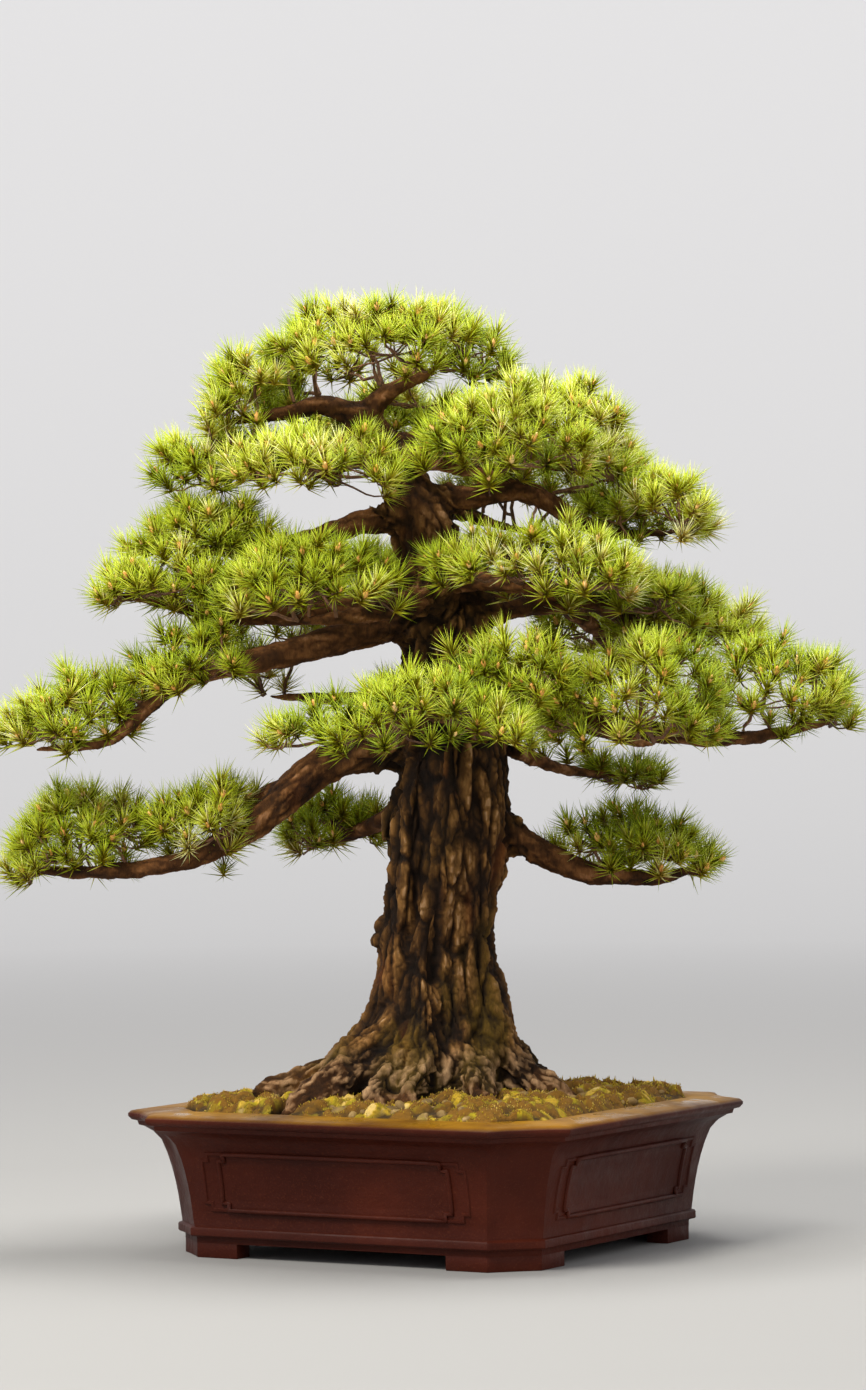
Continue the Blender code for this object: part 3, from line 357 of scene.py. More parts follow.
bpy.ops.object.select_all(action="DESELECT")
bpy.ops.mesh.primitive_circle_add(vertices=128, radius=FLOOR_RADIUS, fill_type="NGON")
studio = bpy.context.object
studio.name = "studio"
bpy.ops.object.mode_set(mode="EDIT")
bpy.ops.mesh.select_all(action="SELECT")
bpy.ops.mesh.region_to_loop()
radius, height = FLOOR_RADIUS, 0.0
for step in range(1, BEND_STEPS + 2):
    bend = min(step, BEND_STEPS) / BEND_STEPS * math.pi / 2
    wider = FLOOR_RADIUS + WALL_BEND * math.sin(bend)
    higher = WALL_BEND * (1.0 - math.cos(bend)) if step <= BEND_STEPS else WALL_TOP
    bpy.ops.mesh.extrude_region_move(TRANSFORM_OT_translate={"value": (0.0, 0.0, higher - height)})
    bpy.ops.transform.resize(value=(wider / radius, wider / radius, 1.0))
    radius, height = wider, higher
bpy.ops.object.mode_set(mode="OBJECT")
smooth_all(studio, 30.0)
paper, tree, shader = new_finish("studio_paper", 0.9)
shader.inputs["Base Color"].default_value = tint(150, 150, 150)
shader.inputs["Emission Color"].default_value = tint(226, 225, 226)
far = add_node(tree, "VectorMath", {"operation": "LENGTH"}, Vector=object_place(tree)).outputs["Value"]
tree.links.new(remap(tree, far, 1.0, 9.5, 0.0, 0.76), shader.inputs["Emission Strength"])
studio.data.materials.append(paper)
print("studio faces:", len(studio.data.polygons))

# %% [markdown]
# ## The light
#
# Show lighting is soft and comes from above: it makes the tops of the pads bright and leaves their
# undersides and the inner trunk dark, which is what tells the tiers apart.  One broad lamp stands high
# on the left, one hangs above the crown, and a weak one on the right keeps the bark readable.

# %% Lamps and sky
def soft_lamp(name, side, back, up, size, power, colour):
    """A square lamp that looks at the middle of the tree."""
    light = bpy.data.lights.new(name, "AREA")
    light.size = size
    light.energy = power
    light.color = colour
    lamp = bpy.data.objects.new(name, light)
    bpy.context.scene.collection.objects.link(lamp)
    lamp.location = RIGHT * side + AWAY * back + UP * up
    aim = UP * (0.5 * CAD_HIGH.z) - lamp.location
    lamp.rotation_euler = aim.to_track_quat("-Z", "Y").to_euler()


soft_lamp("key_lamp", -1.7, -1.9, 3.0, 1.2, 120.0, (1.0, 0.95, 0.86))
soft_lamp("top_lamp", 0.3, 0.2, 3.4, 1.6, 125.0, (1.0, 0.97, 0.92))
soft_lamp("fill_lamp", 2.8, -2.4, 1.6, 1.6, 6.0, (1.0, 0.96, 0.92))

sky = bpy.data.worlds.new("sky")
sky.use_nodes = True
sky.node_tree.nodes["Background"].inputs["Color"].default_value = tint(240, 240, 240)
sky.node_tree.nodes["Background"].inputs["Strength"].default_value = 0.46
bpy.context.scene.world = sky
bpy.context.scene.view_settings.view_transform = "Standard"

# %% [markdown]
# ## The pot
#
# The pot is fired without a glaze: a dense red-brown clay, rubbed until it has a low sheen.  Handling
# and water darken it unevenly.  The top of the rim is painted a lighter, golden brown, a painted sheen
# of the light that falls on it, and it is wet and glossier in places.

# %% Fired clay
RIM_LOW, RIM_HIGH = 0.1385, 0.1430

clay, tree, shader = new_finish("fired_clay", 0.4)
place = object_place(tree)
cloud = noise_value(tree, place, 7.0, 5.0)
speckle = noise_value(tree, place, 520.0, 2.0)
body_colour = ramp(tree, cloud, (0.30, tint(48, 14, 6)), (0.52, tint(61, 20, 9)), (0.74, tint(78, 29, 14)))
body_colour = mixed(tree, remap(tree, speckle, 0.56, 0.74, 0.0, 0.35), body_colour, tint(98, 50, 28))
height_of = add_node(tree, "SeparateXYZ", Vector=place).outputs["Z"]
# The top of the rim is painted a lighter, golden brown: a painted sheen of the light on it.  The same band, broken by
# noise, is glossier where the rim is wet.
rim_sheen_and_wet_share = product(tree, remap(tree, height_of, RIM_LOW, RIM_HIGH),
                    remap(tree, noise_value(tree, place, 16.0, 4.0), 0.32, 0.62, 0.30, 0.90))
clay_colour_and_rim_sheen = mixed(tree, rim_sheen_and_wet_share, body_colour, tint(172, 124, 26))
tree.links.new(clay_colour_and_rim_sheen, shader.inputs["Base Color"])
damp = product(tree, rim_sheen_and_wet_share, remap(tree, noise_value(tree, place, 22.0, 2.0), 0.50, 0.58))
sheen = remap(tree, noise_value(tree, place, 45.0, 4.0), 0.3, 0.7, 0.42, 0.58)
tree.links.new(mixed(tree, damp, sheen, (0.10, 0.10, 0.10, 1.0)), shader.inputs["Roughness"])
shader.inputs["Specular IOR Level"].default_value = 0.13
bumped(tree, shader, (noise_value(tree, place, 60.0, 3.0), 0.0012), (speckle, 0.00025))

# %% [markdown]
# The shape in the frame is right, so merged copies are enough.  Their flat stretches are first made
# one face each by a limited dissolve; then a Bevel takes the sharpness off every edge, as a sponge
# does on wet clay.  A pot of this kind is one piece with its feet, so the feet reach up into it.

# %% Pot and feet
POT_EDGE = 1.0 * MM
FOOT_SUNK = 1.5 * MM      # how far a foot reaches up into the pot
FEET = sorted(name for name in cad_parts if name.startswith("pot_foot_"))


def sponged(node, name):
    """A copy of a fired piece with softened edges."""
    piece = merged_copy(node, name)
    bpy.ops.object.mode_set(mode="EDIT")
    bpy.ops.mesh.select_all(action="SELECT")
    bpy.ops.mesh.dissolve_limited(angle_limit=math.radians(0.6))
    bpy.ops.object.mode_set(mode="OBJECT")
    apply_modifier(piece, "BEVEL", width=POT_EDGE, segments=2, limit_method="ANGLE",
                   angle_limit=math.radians(40.0), use_clamp_overlap=True)
    smooth_all(piece, 34.0)
    return piece


pot = sponged("pot", "pot_body")
finish_piece(pot, clay, "stoneware", "pot")
for node in FEET:
    foot = sponged(node, node + "_fired")
    spots = points_of(foot)
    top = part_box(node)[1].z
    spots[spots[:, 2] > top - 2 * POT_EDGE, 2] += FOOT_SUNK
    move_points(foot, spots)
    finish_piece(foot, clay, "stoneware", node)

# %% [markdown]
# Each side has a panel framed by a raised bead with stepped corners.  The potter presses a thin roll
# of clay on the wall.  Here the outline is laid out flat at the panel's size, with its corners
# stepped, and each point is pushed back onto the wall by a ray.  Turned into a curve with a round
# bevel, the outline becomes the roll.

# %% Panel beads
BEAD_RADIUS = 2.6 * MM
BEAD_TOP, BEAD_BOTTOM = 0.104, 0.048
BEAD_STEP = 7 * MM        # the stepped corner
BEAD_MARGIN = 18 * MM     # from the bead to the cut corner
BEAD_RUN = 12             # points along a long side

walls = BVHTree.FromPolygons([v.co for v in pot.data.vertices], [f.vertices for f in pot.data.polygons])
pot_low, pot_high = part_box("pot")


def panel_reach(out, along):
    """Half of a panel's length: where the flat wall ends, less the margin."""
    level = 0.5 * (BEAD_TOP + BEAD_BOTTOM)
    reach = 0.0
    while reach < 0.3:
        hit = walls.ray_cast(out * 0.5 + along * reach + UP * level, -out)
        if hit[0] is None or hit[1].dot(out) < 0.9:
            break
        reach += MM
    return reach - BEAD_MARGIN


def on_wall(out, along, across, up):
    """The point of the wall behind a point of the panel."""
    return walls.ray_cast(out * 0.5 + along * across + UP * up, -out)[0]


for name, out in (("front", Vector((0, -1, 0))), ("back", Vector((0, 1, 0))),
                  ("right", Vector((1, 0, 0))), ("left", Vector((-1, 0, 0)))):
    along = UP.cross(out)
    half = panel_reach(out, along)
    rise = (BEAD_TOP - BEAD_BOTTOM) / 2
    corner = ((half, rise - BEAD_STEP), (half - BEAD_STEP, rise - BEAD_STEP), (half - BEAD_STEP, rise))
    outline = [*corner, *[(-x, z) for x, z in reversed(corner)], *[(-x, -z) for x, z in corner],
               *[(x, -z) for x, z in reversed(corner)]]
    mesh = bpy.data.meshes.new("panel_bead_" + name)
    flat = [(x, z) for here, there in zip(outline, outline[1:] + outline[:1])
            for x, z in [(here[0] + (there[0] - here[0]) * k / BEAD_RUN, here[1] + (there[1] - here[1]) * k / BEAD_RUN)
                         for k in range(BEAD_RUN if abs(there[0] - here[0]) + abs(there[1] - here[1]) > 30 * MM else 2)]]
    spots = [on_wall(out, along, x, z + (BEAD_TOP + BEAD_BOTTOM) / 2) for x, z in flat]
    mesh.from_pydata(spots, [(k, (k + 1) % len(spots)) for k in range(len(spots))], [])
    bead = bpy.data.objects.new("panel_bead_" + name, mesh)
    bpy.context.scene.collection.objects.link(bead)
    select_only(bead)
    bpy.ops.object.convert(target="CURVE")
    bead = bpy.context.object
    bead.data.bevel_depth = BEAD_RADIUS
    bead.data.bevel_resolution = 2
    bpy.ops.object.convert(target="MESH")
    bead = bpy.context.object
    smooth_all(bead)
    finish_piece(bead, clay, "stoneware")
    print("panel", name, "half length:", round(half, 3))

# %% [markdown]
# ## What lies in the pot
#
# Under the moss there are soil, a layer of coarse grit, and two plastic screens over the drain holes.
# Hardly anything of them is seen, so the solids of the frame stay, with a grainy finish each.

# %% Soil, grit and screens
def grain_finish(name, dark, light, size, roughness):
    """A finish of loose grains of about one size."""
    finish, tree, shader = new_finish(name, roughness)
    place = object_place(tree)
    grains = add_node(tree, "TexVoronoi", Vector=place, Scale=1.0 / size)
    value = add_node(tree, "SeparateColor", Color=grains.outputs["Color"]).outputs[0]
    shade = remap(tree, grains.outputs["Distance"], 0.0, 0.6, 1.0, 0.0)
    colour = ramp(tree, value, (0.1, tint(*dark)), (0.9, tint(*light)))
    # The edges of each grain are painted dark: a painted shade in the gaps between the grains.
    tree.links.new(mixed(tree, shade, tint(22, 15, 11), colour), shader.inputs["Base Color"])
    bumped(tree, shader, (shade, 0.4 * size), (noise_value(tree, place, 3.0 / size), 0.1 * size))
    return finish


soil_finish = grain_finish("damp_soil", (58, 40, 28), (104, 78, 54), 0.0032, 0.9)
grit_finish = grain_finish("drainage_grit", (120, 104, 84), (176, 160, 136), 0.0065, 0.85)
mesh_finish = grain_finish("screen_plastic", (28, 30, 30), (44, 47, 46), 0.0030, 0.5)
INSIDE = {"soil": soil_finish, "drainage_grit": grit_finish,
          "drain_screen_left": mesh_finish, "drain_screen_right": mesh_finish}
for node, finish in INSIDE.items():
    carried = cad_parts[node]
    carried.data.materials.clear()
    carried.data.materials.append(finish)
print("carried over:", sorted(INSIDE))

# %% [markdown]
# ## Stones in the moss
#
# The larger stones are half sunk.  A stone from the frame is coarse, so it is subdivided until it is
# round, and then pushed in and out by a slow noise with a little fine grain on it.

# %% Stone finish and stones
stone_finish, tree, shader = new_finish("weathered_stone", 0.8)
place = object_place(tree)
patches = noise_value(tree, place, 60.0, 5.0)
stone_colour = ramp(tree, patches, (0.3, tint(88, 68, 36)), (0.55, tint(150, 122, 70)), (0.75, tint(200, 172, 120)))
lichen = remap(tree, noise_value(tree, place, 90.0, 3.0), 0.56, 0.66, 0.0, 0.7)
tree.links.new(mixed(tree, lichen, stone_colour, tint(142, 122, 26)), shader.inputs["Base Color"])
bumped(tree, shader, (noise_value(tree, place, 400.0, 4.0), 0.0006))

STONE_WAVE = 9 * MM       # size of a dent
STONE_DENT = 1.1 * MM     # its depth
for node in STONES:
    stone = merged_copy(node, node + "_worn")
    apply_modifier(stone, "SUBSURF", levels=2, render_levels=2)
    outward = normals_of(stone)
    spots = points_of(stone)
    push = [noise.noise(Vector(p) / STONE_WAVE) + 0.35 * noise.noise(Vector(p) / STONE_WAVE * 3.1) for p in spots]
    move_points(stone, spots + outward * (np.array(push)[:, None] - 0.3) * STONE_DENT)
    smooth_all(stone)
    finish_piece(stone, stone_finish, "pebble", node)

# %% [markdown]
# ## The moss
#
# Moss grows as small cushions that crowd each other, so the carpet is remeshed to an even grid and
# every point is lifted by the distance to the nearest cushion's middle: high there and low in the
# seams between.  Two sizes of cushion lie over each other.  The lift and each cushion's number are
# kept in an attribute, so that the seams are painted dark, a painted shade between the cushions, and
# each cushion has a green or brown of its own.

# %% Moss cushions
MOSS_GRID = 2.3 * MM
CUSHION = 21 * MM         # distance between cushions
TUFTLET = 8.5 * MM
CUSHION_LIFT = 13.0 * MM
TUFTLET_LIFT = 4.2 * MM
MOSS_FUZZ = 0.7 * MM
MOSS_RISE = 4.0 * MM      # how much the carpet swells towards the tree


def mound(spot, size):
    """1 in the middle of a cushion, 0 in the seam between two."""
    reach = noise.voronoi(spot / size)[0]
    return math.sqrt(max(0.0, 1.0 - (reach[0] / 0.72) ** 2))


def moss_lift(spot):
    """How far the moss rises above the carpet at a point; how open it is; its two cushions' numbers."""
    flat = Vector((spot.x, spot.y, 0.0))
    flat += noise.noise_vector(flat / CUSHION * 1.4) * (0.22 * CUSHION)
    big, small = mound(flat, CUSHION), mound(flat, TUFTLET)
    patch = 0.5 + 0.5 * noise.noise(flat / (3.0 * CUSHION))
    lift = CUSHION_LIFT * (big - 0.45) * (0.5 + patch) + TUFTLET_LIFT * (small - 0.5)
    kinds = [noise.cell(noise.voronoi(flat / size)[1][0] * 7.0) for size in (CUSHION, TUFTLET)]
    return lift + MOSS_FUZZ * noise.noise(spot / (0.3 * TUFTLET)), (0.5 * big + 0.5 * small, *kinds)


moss = merged_copy("moss_carpet", "moss_cushions")
apply_modifier(moss, "REMESH", mode="VOXEL", voxel_size=MOSS_GRID)
moss_low, moss_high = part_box("moss_carpet")
rim_clear = 12 * MM
spots, outward = points_of(moss), normals_of(moss)
moss_look = np.zeros((len(spots), 4), np.float32)
for index, (spot, out) in enumerate(zip(spots, outward)):
    if out[2] < 0.2:
        continue
    lift, moss_look[index, :3] = moss_lift(Vector(spot))
    inside = min(moss_high.x - abs(spot[0]), moss_high.y - abs(spot[1])) / rim_clear
    spots[index, 2] += (MOSS_RISE + max(lift, -1.5 * MM)) * max(0.15, min(1.0, inside))
move_points(moss, spots)
layer = moss.data.attributes.new("moss_look", "FLOAT_COLOR", "POINT")
layer.data.foreach_set("color", moss_look.ravel())
smooth_all(moss)

moss_finish, tree, shader = new_finish("moss", 0.95)
place = object_place(tree)
kept = add_node(tree, "Attribute", {"attribute_name": "moss_look"})
crown, big_kind, small_kind = add_node(tree, "SeparateColor", Color=kept.outputs["Color"]).outputs
fine = noise_value(tree, place, 330.0, 4.0, 0.7)
hue = mixed(tree, 0.45, big_kind, small_kind)
hue = mixed(tree, 0.25, hue, noise_value(tree, place, 60.0, 3.0))
green = ramp(tree, hue, (0.22, tint(132, 92, 16)), (0.36, tint(150, 126, 12)), (0.50, tint(176, 158, 20)),
             (0.62, tint(202, 166, 32)), (0.74, tint(224, 188, 84)), (0.88, tint(238, 212, 144)))
# The seams between cushions are painted dark: a painted shade where the cushions crowd each other, broken up by a fine
# noise.
seam = tint(62, 44, 8)
depth = product(tree, remap(tree, crown, 0.20, 0.72), remap(tree, fine, 0.25, 0.6, 0.5, 1.0))
tree.links.new(mixed(tree, depth, seam, green), shader.inputs["Base Color"])
bumped(tree, shader, (fine, 0.0012), (noise_value(tree, place, 900.0, 2.0), 0.0004))
finish_piece(moss, moss_finish, "moss", "moss_carpet")

# %% [markdown]
# On the crowns stand thousands of tiny sprigs.  A sprig is a three-sided cone, the smallest closed
# shape there is, and the light that catches it is what makes moss look soft.  Behind the roots on the
# right some of them grow tall.

# %% Moss sprigs
SPRIGS = 5000
SPRIG_HEIGHT = 2.4 * MM
SPRIG_HALF = 0.6 * MM
chance = np.random.default_rng(11)

bpy.ops.object.select_all(action="DESELECT")
bpy.ops.mesh.primitive_cone_add(vertices=3, radius1=SPRIG_HALF, radius2=0.0, depth=SPRIG_HEIGHT,
                                location=(0.0, 0.0, SPRIG_HEIGHT / 2))
select_only(bpy.context.object)
bpy.ops.object.transform_apply(location=True, rotation=True, scale=True)
sprig, sprig_faces = read_model(bpy.context.object)

tops = np.flatnonzero((outward[:, 2] > 0.5) & (moss_look[:, 0] > 0.4))
picked = tops[chance.integers(0, len(tops), SPRIGS)]
ground = spots[picked] + chance.normal(0.0, 0.8 * MM, (SPRIGS, 3)) * (1.0, 1.0, 0.0)
side, back = ground @ np.array(RIGHT), ground @ np.array(AWAY)
tall = (side > 0.10) & (back > 0.02) & (chance.random(SPRIGS) < 0.16)
lean = np.column_stack([chance.normal(0.0, 0.45, (SPRIGS, 2)), np.ones(SPRIGS)])
sizes = chance.uniform(0.6, 1.25, SPRIGS) * np.where(tall, 2.3, 1.0)
sprigs = write_mesh("moss_sprigs", copies(sprig, lean, chance.uniform(0, 6.3, SPRIGS), sizes, ground), sprig_faces)

sprig_finish, tree, shader = new_finish("moss_sprigs", 0.85)
hue = noise_value(tree, object_place(tree), 40.0, 3.0)
tree.links.new(ramp(tree, hue, (0.34, tint(146, 116, 12)), (0.52, tint(188, 160, 30)), (0.68, tint(226, 196, 100))),
               shader.inputs["Base Color"])
finish_piece(sprigs, sprig_finish, "moss")

# %% [markdown]
# Pebbles lie between the cushions, most of them in front of the roots.  One is modelled: a sphere of
# few faces, flattened, with its points pushed about.  The copies are rolled and sized by chance.

# %% Pebbles
PEBBLES = 60
PEBBLE_HALF = 4.5 * MM

bpy.ops.object.select_all(action="DESELECT")
bpy.ops.mesh.primitive_ico_sphere_add(subdivisions=2, radius=PEBBLE_HALF)
pebble = bpy.context.object
bpy.ops.object.mode_set(mode="EDIT")
bpy.ops.mesh.select_all(action="SELECT")
bpy.ops.transform.resize(value=(1.25, 0.9, 0.75))
bpy.ops.object.mode_set(mode="OBJECT")
shape = points_of(pebble)
shape *= 1.0 + 0.22 * np.array([noise.noise(Vector(p) / (0.9 * PEBBLE_HALF)) for p in shape])[:, None]
move_points(pebble, shape)
pebble, pebble_faces = read_model(pebble)

bed = np.flatnonzero((outward[:, 2] > 0.5) & (moss_look[:, 0] < 0.55))
near_front = bed[(spots[bed] @ np.array(AWAY)) < -0.02]
picked = np.concatenate([near_front[chance.integers(0, len(near_front), 2 * PEBBLES // 3)],
                         bed[chance.integers(0, len(bed), PEBBLES // 3)]])
lean = chance.normal(0.0, 0.5, (len(picked), 3)) + (0.0, 0.0, 1.0)
pebbles = write_mesh("pebbles", copies(pebble, lean, chance.uniform(0, 6.3, len(picked)),
                                       chance.uniform(0.5, 1.5, len(picked)), spots[picked]), pebble_faces)
smooth_all(pebbles)
finish_piece(pebbles, stone_finish, "pebble")

# %% [markdown]
# ## The bark
#
# Old pine bark splits into long plates because the trunk grows and the bark can't stretch.  The splits
# run along the grain, upwards on the trunk and outwards on a bough.  To cut such splits, every point
# has to know which way the grain runs there and how thick the wood is.  Both can be read from the
# solid: the grain is the one direction that no face nearby looks in, and the thickness is how far a
# ray runs through the wood.

# %% Grain and thickness of the wood
GRAIN_REACH = 22 * MM     # how far a point looks round for faces
THICK_MOST = 70 * MM

wood = merged_copy("trunk_and_boughs", "bark")
core = BVHTree.FromPolygons([v.co for v in wood.data.vertices], [f.vertices for f in wood.data.polygons])
coarse = points_of(wood)
coarse_out = normals_of(wood)
centres = np.array([face.center for face in wood.data.polygons])
faced = np.array([face.normal * face.area for face in wood.data.polygons])
grain = np.zeros_like(coarse)
girth = np.zeros(len(coarse))
for index, (spot, out) in enumerate(zip(coarse, coarse_out)):
    near = np.exp(-((centres - spot) ** 2).sum(axis=1) / (2 * GRAIN_REACH ** 2))
    looks = faced * near[:, None]
    grain[index] = np.linalg.eigh(looks.T @ faced)[1][:, 0]
    hit = core.ray_cast(Vector(spot - out * 0.5 * MM), Vector(-out))
    girth[index] = min(THICK_MOST, hit[3] / 2) if hit[0] is not None else 4 * MM
coarse_tree = KDTree(len(coarse))
for index, spot in enumerate(coarse):
    coarse_tree.insert(Vector(spot), index)
coarse_tree.balance()
print("thickest wood:", round(girth.max(), 3), "thinnest:", round(girth.min(), 4))

# %% [markdown]
# Now the copy is rounded, remeshed to an even grid fine enough for the splits, and relaxed a little.
# Each point is moved by four layers of relief: broad folds, plates with deep splits between them,
# flakes on the plates, and grit.  The layers fade on thin boughs, whose bark is young.  The patterns
# are squeezed along the grain, in one of seven fixed directions or a blend of them, because a pattern
# that followed every turn of the grain would tear.

# %% Relief of the bark
BARK_GRID = 1.9 * MM
FOLD = (27 * MM, 0.14, 9.0 * MM)       # size across the grain, squeeze along it, height
PLATE = (13.0 * MM, 0.26, 6.5 * MM)
FLAKE = (6.0 * MM, 0.42, 1.9 * MM)
KNOB = (14 * MM, 5.0 * MM)             # size and height of the lumps on roots and boughs
GRIT = 0.35 * MM
ROOT_TOP = 0.205
DIAGONAL = math.sqrt(0.5)
GRAIN_WAYS = [UP, RIGHT, AWAY, (RIGHT + AWAY) * DIAGONAL, (RIGHT - AWAY) * DIAGONAL,
              (RIGHT + UP) * DIAGONAL, (RIGHT - UP) * DIAGONAL]


def squeezed(spot, way, layer):
    """A point in a layer's own units, squeezed along the grain."""
    return (spot - way * (spot.dot(way) * (1.0 - layer[1]))) / layer[0]


def split(spot, way, layer, width):
    """0 in a split and 1 on a plate, and a number for that plate."""
    place = squeezed(spot, way, layer)
    place += noise.noise_vector(place * 0.8) * 0.45
    reach, middles = noise.voronoi(place)
    return min(1.0, (reach[1] - reach[0]) / width), noise.cell(middles[0] * 5.0)


def relief(spot, way, age):
    """The height of the bark, how open it is (0 deep in a split), and its plate's number."""
    fold = 1.0 - abs(noise.noise(squeezed(spot, way, FOLD))) * 2.4
    plate, number = split(spot, way, PLATE, 0.34)
    flake, _ = split(spot, way, FLAKE, 0.30)
    height = FOLD[2] * (fold - 0.6) + PLATE[2] * (plate ** 0.7 - 0.75) + 1.3 * MM * (number - 0.5)
    height = height * age + FLAKE[2] * (flake - 0.6) * (0.45 + 0.55 * age)
    return height, 0.45 * plate + 0.3 * max(0.0, min(1.0, fold)) + 0.25 * flake, number


apply_modifier(wood, "SUBSURF", levels=1, render_levels=1)
apply_modifier(wood, "REMESH", mode="VOXEL", voxel_size=BARK_GRID)
apply_modifier(wood, "SMOOTH", factor=0.5, iterations=4)
spots, outward = points_of(wood), normals_of(wood)
look = np.zeros((len(spots), 4), np.float32)
for index in range(len(spots)):
    spot = Vector(spots[index])
    near = coarse_tree.find_n(spot, 3)
    share = [1.0 / (found[2] + MM) for found in near]
    thick = sum(girth[found[1]] * s for found, s in zip(near, share)) / sum(share)
    run = grain[near[0][1]]
    age = max(0.0, min(1.0, (thick - 13 * MM) / (22 * MM)))
    weights = [abs(run[0] * way.x + run[1] * way.y + run[2] * way.z) ** 10 for way in GRAIN_WAYS]
    total = sum(weights)
    height = openness = number = 0.0
    for way, weight in zip(GRAIN_WAYS, weights):
        if weight < 0.12 * total:
            continue
        layers = relief(spot, way, age)
        height += layers[0] * weight / total
        openness += layers[1] * weight / total
        number += layers[2] * weight / total
    root = max(0.0, min(1.0, (ROOT_TOP - spot.z) / (30 * MM)))
    lump = noise.noise(spot / KNOB[0]) * KNOB[1] * max(root, 0.45 * (1.0 - age) * min(1.0, thick / (9 * MM)))
    height += lump + GRIT * noise.noise(spot / (2.6 * MM))
    spots[index] += outward[index] * height
    look[index] = (openness, number, age, root)
move_points(wood, spots)
layer = wood.data.attributes.new("bark_look", "FLOAT_COLOR", "POINT")
layer.data.foreach_set("color", look.ravel())
print("bark points:", len(spots))

# %% [markdown]
# The grid is even, but the detail isn't: a collapse of the flattest edges keeps the splits and lets go
# of the smooth stretches of twig, until the piece is light enough to export whole.

# %% Lighter bark
MOST_FACES = 192000
light = MOST_FACES / (2 * len(wood.data.polygons))
if light < 1.0:
    apply_modifier(wood, "DECIMATE", ratio=light)
smooth_all(wood)

bark, tree, shader = new_finish("bark", 0.86)
place = object_place(tree)
upright = object_place(tree, (1.0, 1.0, 0.35))
kept = add_node(tree, "Attribute", {"attribute_name": "bark_look"})
parts = add_node(tree, "SeparateColor", Color=kept.outputs["Color"]).outputs
root_share = kept.outputs["Alpha"]
fibre = noise_value(tree, upright, 420.0, 4.0, 0.7)
open_share = remap(tree, parts[0], 0.10, 0.95)
# Deep in the splits the bark is painted nearly black, a painted shade, and the most open plates are painted pale, a
# painted highlight.
plates = ramp(tree, open_share, (0.0, tint(12, 6, 2)), (0.35, tint(40, 24, 9)), (0.62, tint(92, 61, 25)),
              (0.85, tint(156, 112, 60)), (1.0, tint(222, 178, 130)))
plates = mixed(tree, remap(tree, parts[1], 0.0, 1.0, 0.0, 0.6), plates, tint(120, 100, 80), "MULTIPLY")
rust = remap(tree, noise_value(tree, object_place(tree, (1.0, 1.0, 0.4)), 17.0, 3.0), 0.60, 0.72, 0.0, 0.45)
plates = mixed(tree, rust, plates, tint(150, 84, 34))
moss_place = noise_value(tree, upright, 12.0, 4.0)
height_of = add_node(tree, "SeparateXYZ", Vector=place).outputs["Z"]
low_down = remap(tree, height_of, 0.16, 0.46, 1.0, 0.15)
mossy = product(tree, remap(tree, moss_place, 0.46, 0.60, 0.0, 0.7), low_down)
plates = mixed(tree, product(tree, mossy, remap(tree, open_share, 0.1, 0.6)), plates, tint(112, 90, 22))
# Young bark has the same painted shade in its splits and painted highlight on its raised parts.
young = ramp(tree, open_share, (0.0, tint(30, 16, 6)), (0.40, tint(88, 54, 24)), (0.70, tint(140, 92, 50)),
             (1.0, tint(206, 152, 108)))
wood_colour = mixed(tree, parts[2], young, plates)
# The raised tops of the roots are painted pale: partly weathered wood and partly a painted highlight.
worn = product(tree, root_share, remap(tree, open_share, 0.42, 0.80, 0.0, 0.85))
wood_colour = mixed(tree, worn, wood_colour, tint(214, 174, 130))
tree.links.new(mixed(tree, remap(tree, fibre, 0.3, 0.7, 0.55, 0.0), wood_colour, tint(26, 17, 12)),
               shader.inputs["Base Color"])
shader.inputs["Specular IOR Level"].default_value = 0.2
bumped(tree, shader, (fibre, 0.0012), (noise_value(tree, place, 900.0, 2.0), 0.0004))
finish_piece(wood, bark, "bark", "trunk_and_boughs")

# %% [markdown]
# ## Where the tufts grow
#
# A pad is a crowd of shoots, each with a tuft of needles at its end.  The tufts stand a couple of
# centimetres apart on the pad's top and sides, and look outwards and up, towards the light.  Points
# are scattered over the solid of the pad, and a point too near an earlier one is dropped.  The surface
# is first dented by a slow noise, because a pad is made of smaller clumps with shade between them.
#
# A grower thins a tree every year: nearly all that hangs under a pad is pinched off, thick wood is
# kept clean, and a few places are left open so that the trunk, the fork of the crown and the sky show
# between the tiers.

# %% Tuft places
NEEDLE_LENGTH = 26 * MM
SHOOT_LENGTH = 11 * MM
TUFT_SPACING = 17.5 * MM
ROOT_DEPTH = 26 * MM
CLUMP = 45 * MM
SPRAY = 22 * MM
CLUMP_DENT = 20 * MM
BARE = 14 * MM            # a grower keeps this much of a thick bough's surroundings clean
BARE_GIRTH = 7.5 * MM
HUNG = 13 * MM            # a tuft further than this under its wood is pinched off
UNDER_SHARE = 0.15        # of the tufts on a pad's underside, how many a grower leaves
CLEARED = 8 * MM          # how much further than an open place the tufts are thinned

# open places: side, back and up of the middle, then half of the room each way
OPEN_AIR = (
    (-0.090, -0.110, 0.846, 0.125, 0.110, 0.026),
    (-0.097, 0.000, 0.734, 0.066, 0.400, 0.022),
    (0.076, 0.000, 0.735, 0.054, 0.400, 0.020),
    (0.004, -0.160, 0.722, 0.030, 0.150, 0.024),
    (-0.110, -0.130, 0.614, 0.095, 0.120, 0.030),
    (0.030, -0.120, 0.638, 0.050, 0.110, 0.020),
    (-0.110, 0.000, 0.570, 0.045, 0.400, 0.016),
    (0.200, 0.000, 0.494, 0.045, 0.400, 0.012),
    (0.120, -0.120, 0.757, 0.040, 0.110, 0.014),
    (0.207, -0.100, 0.721, 0.050, 0.090, 0.012),
    (-0.030, -0.150, 0.468, 0.160, 0.160, 0.022),
)


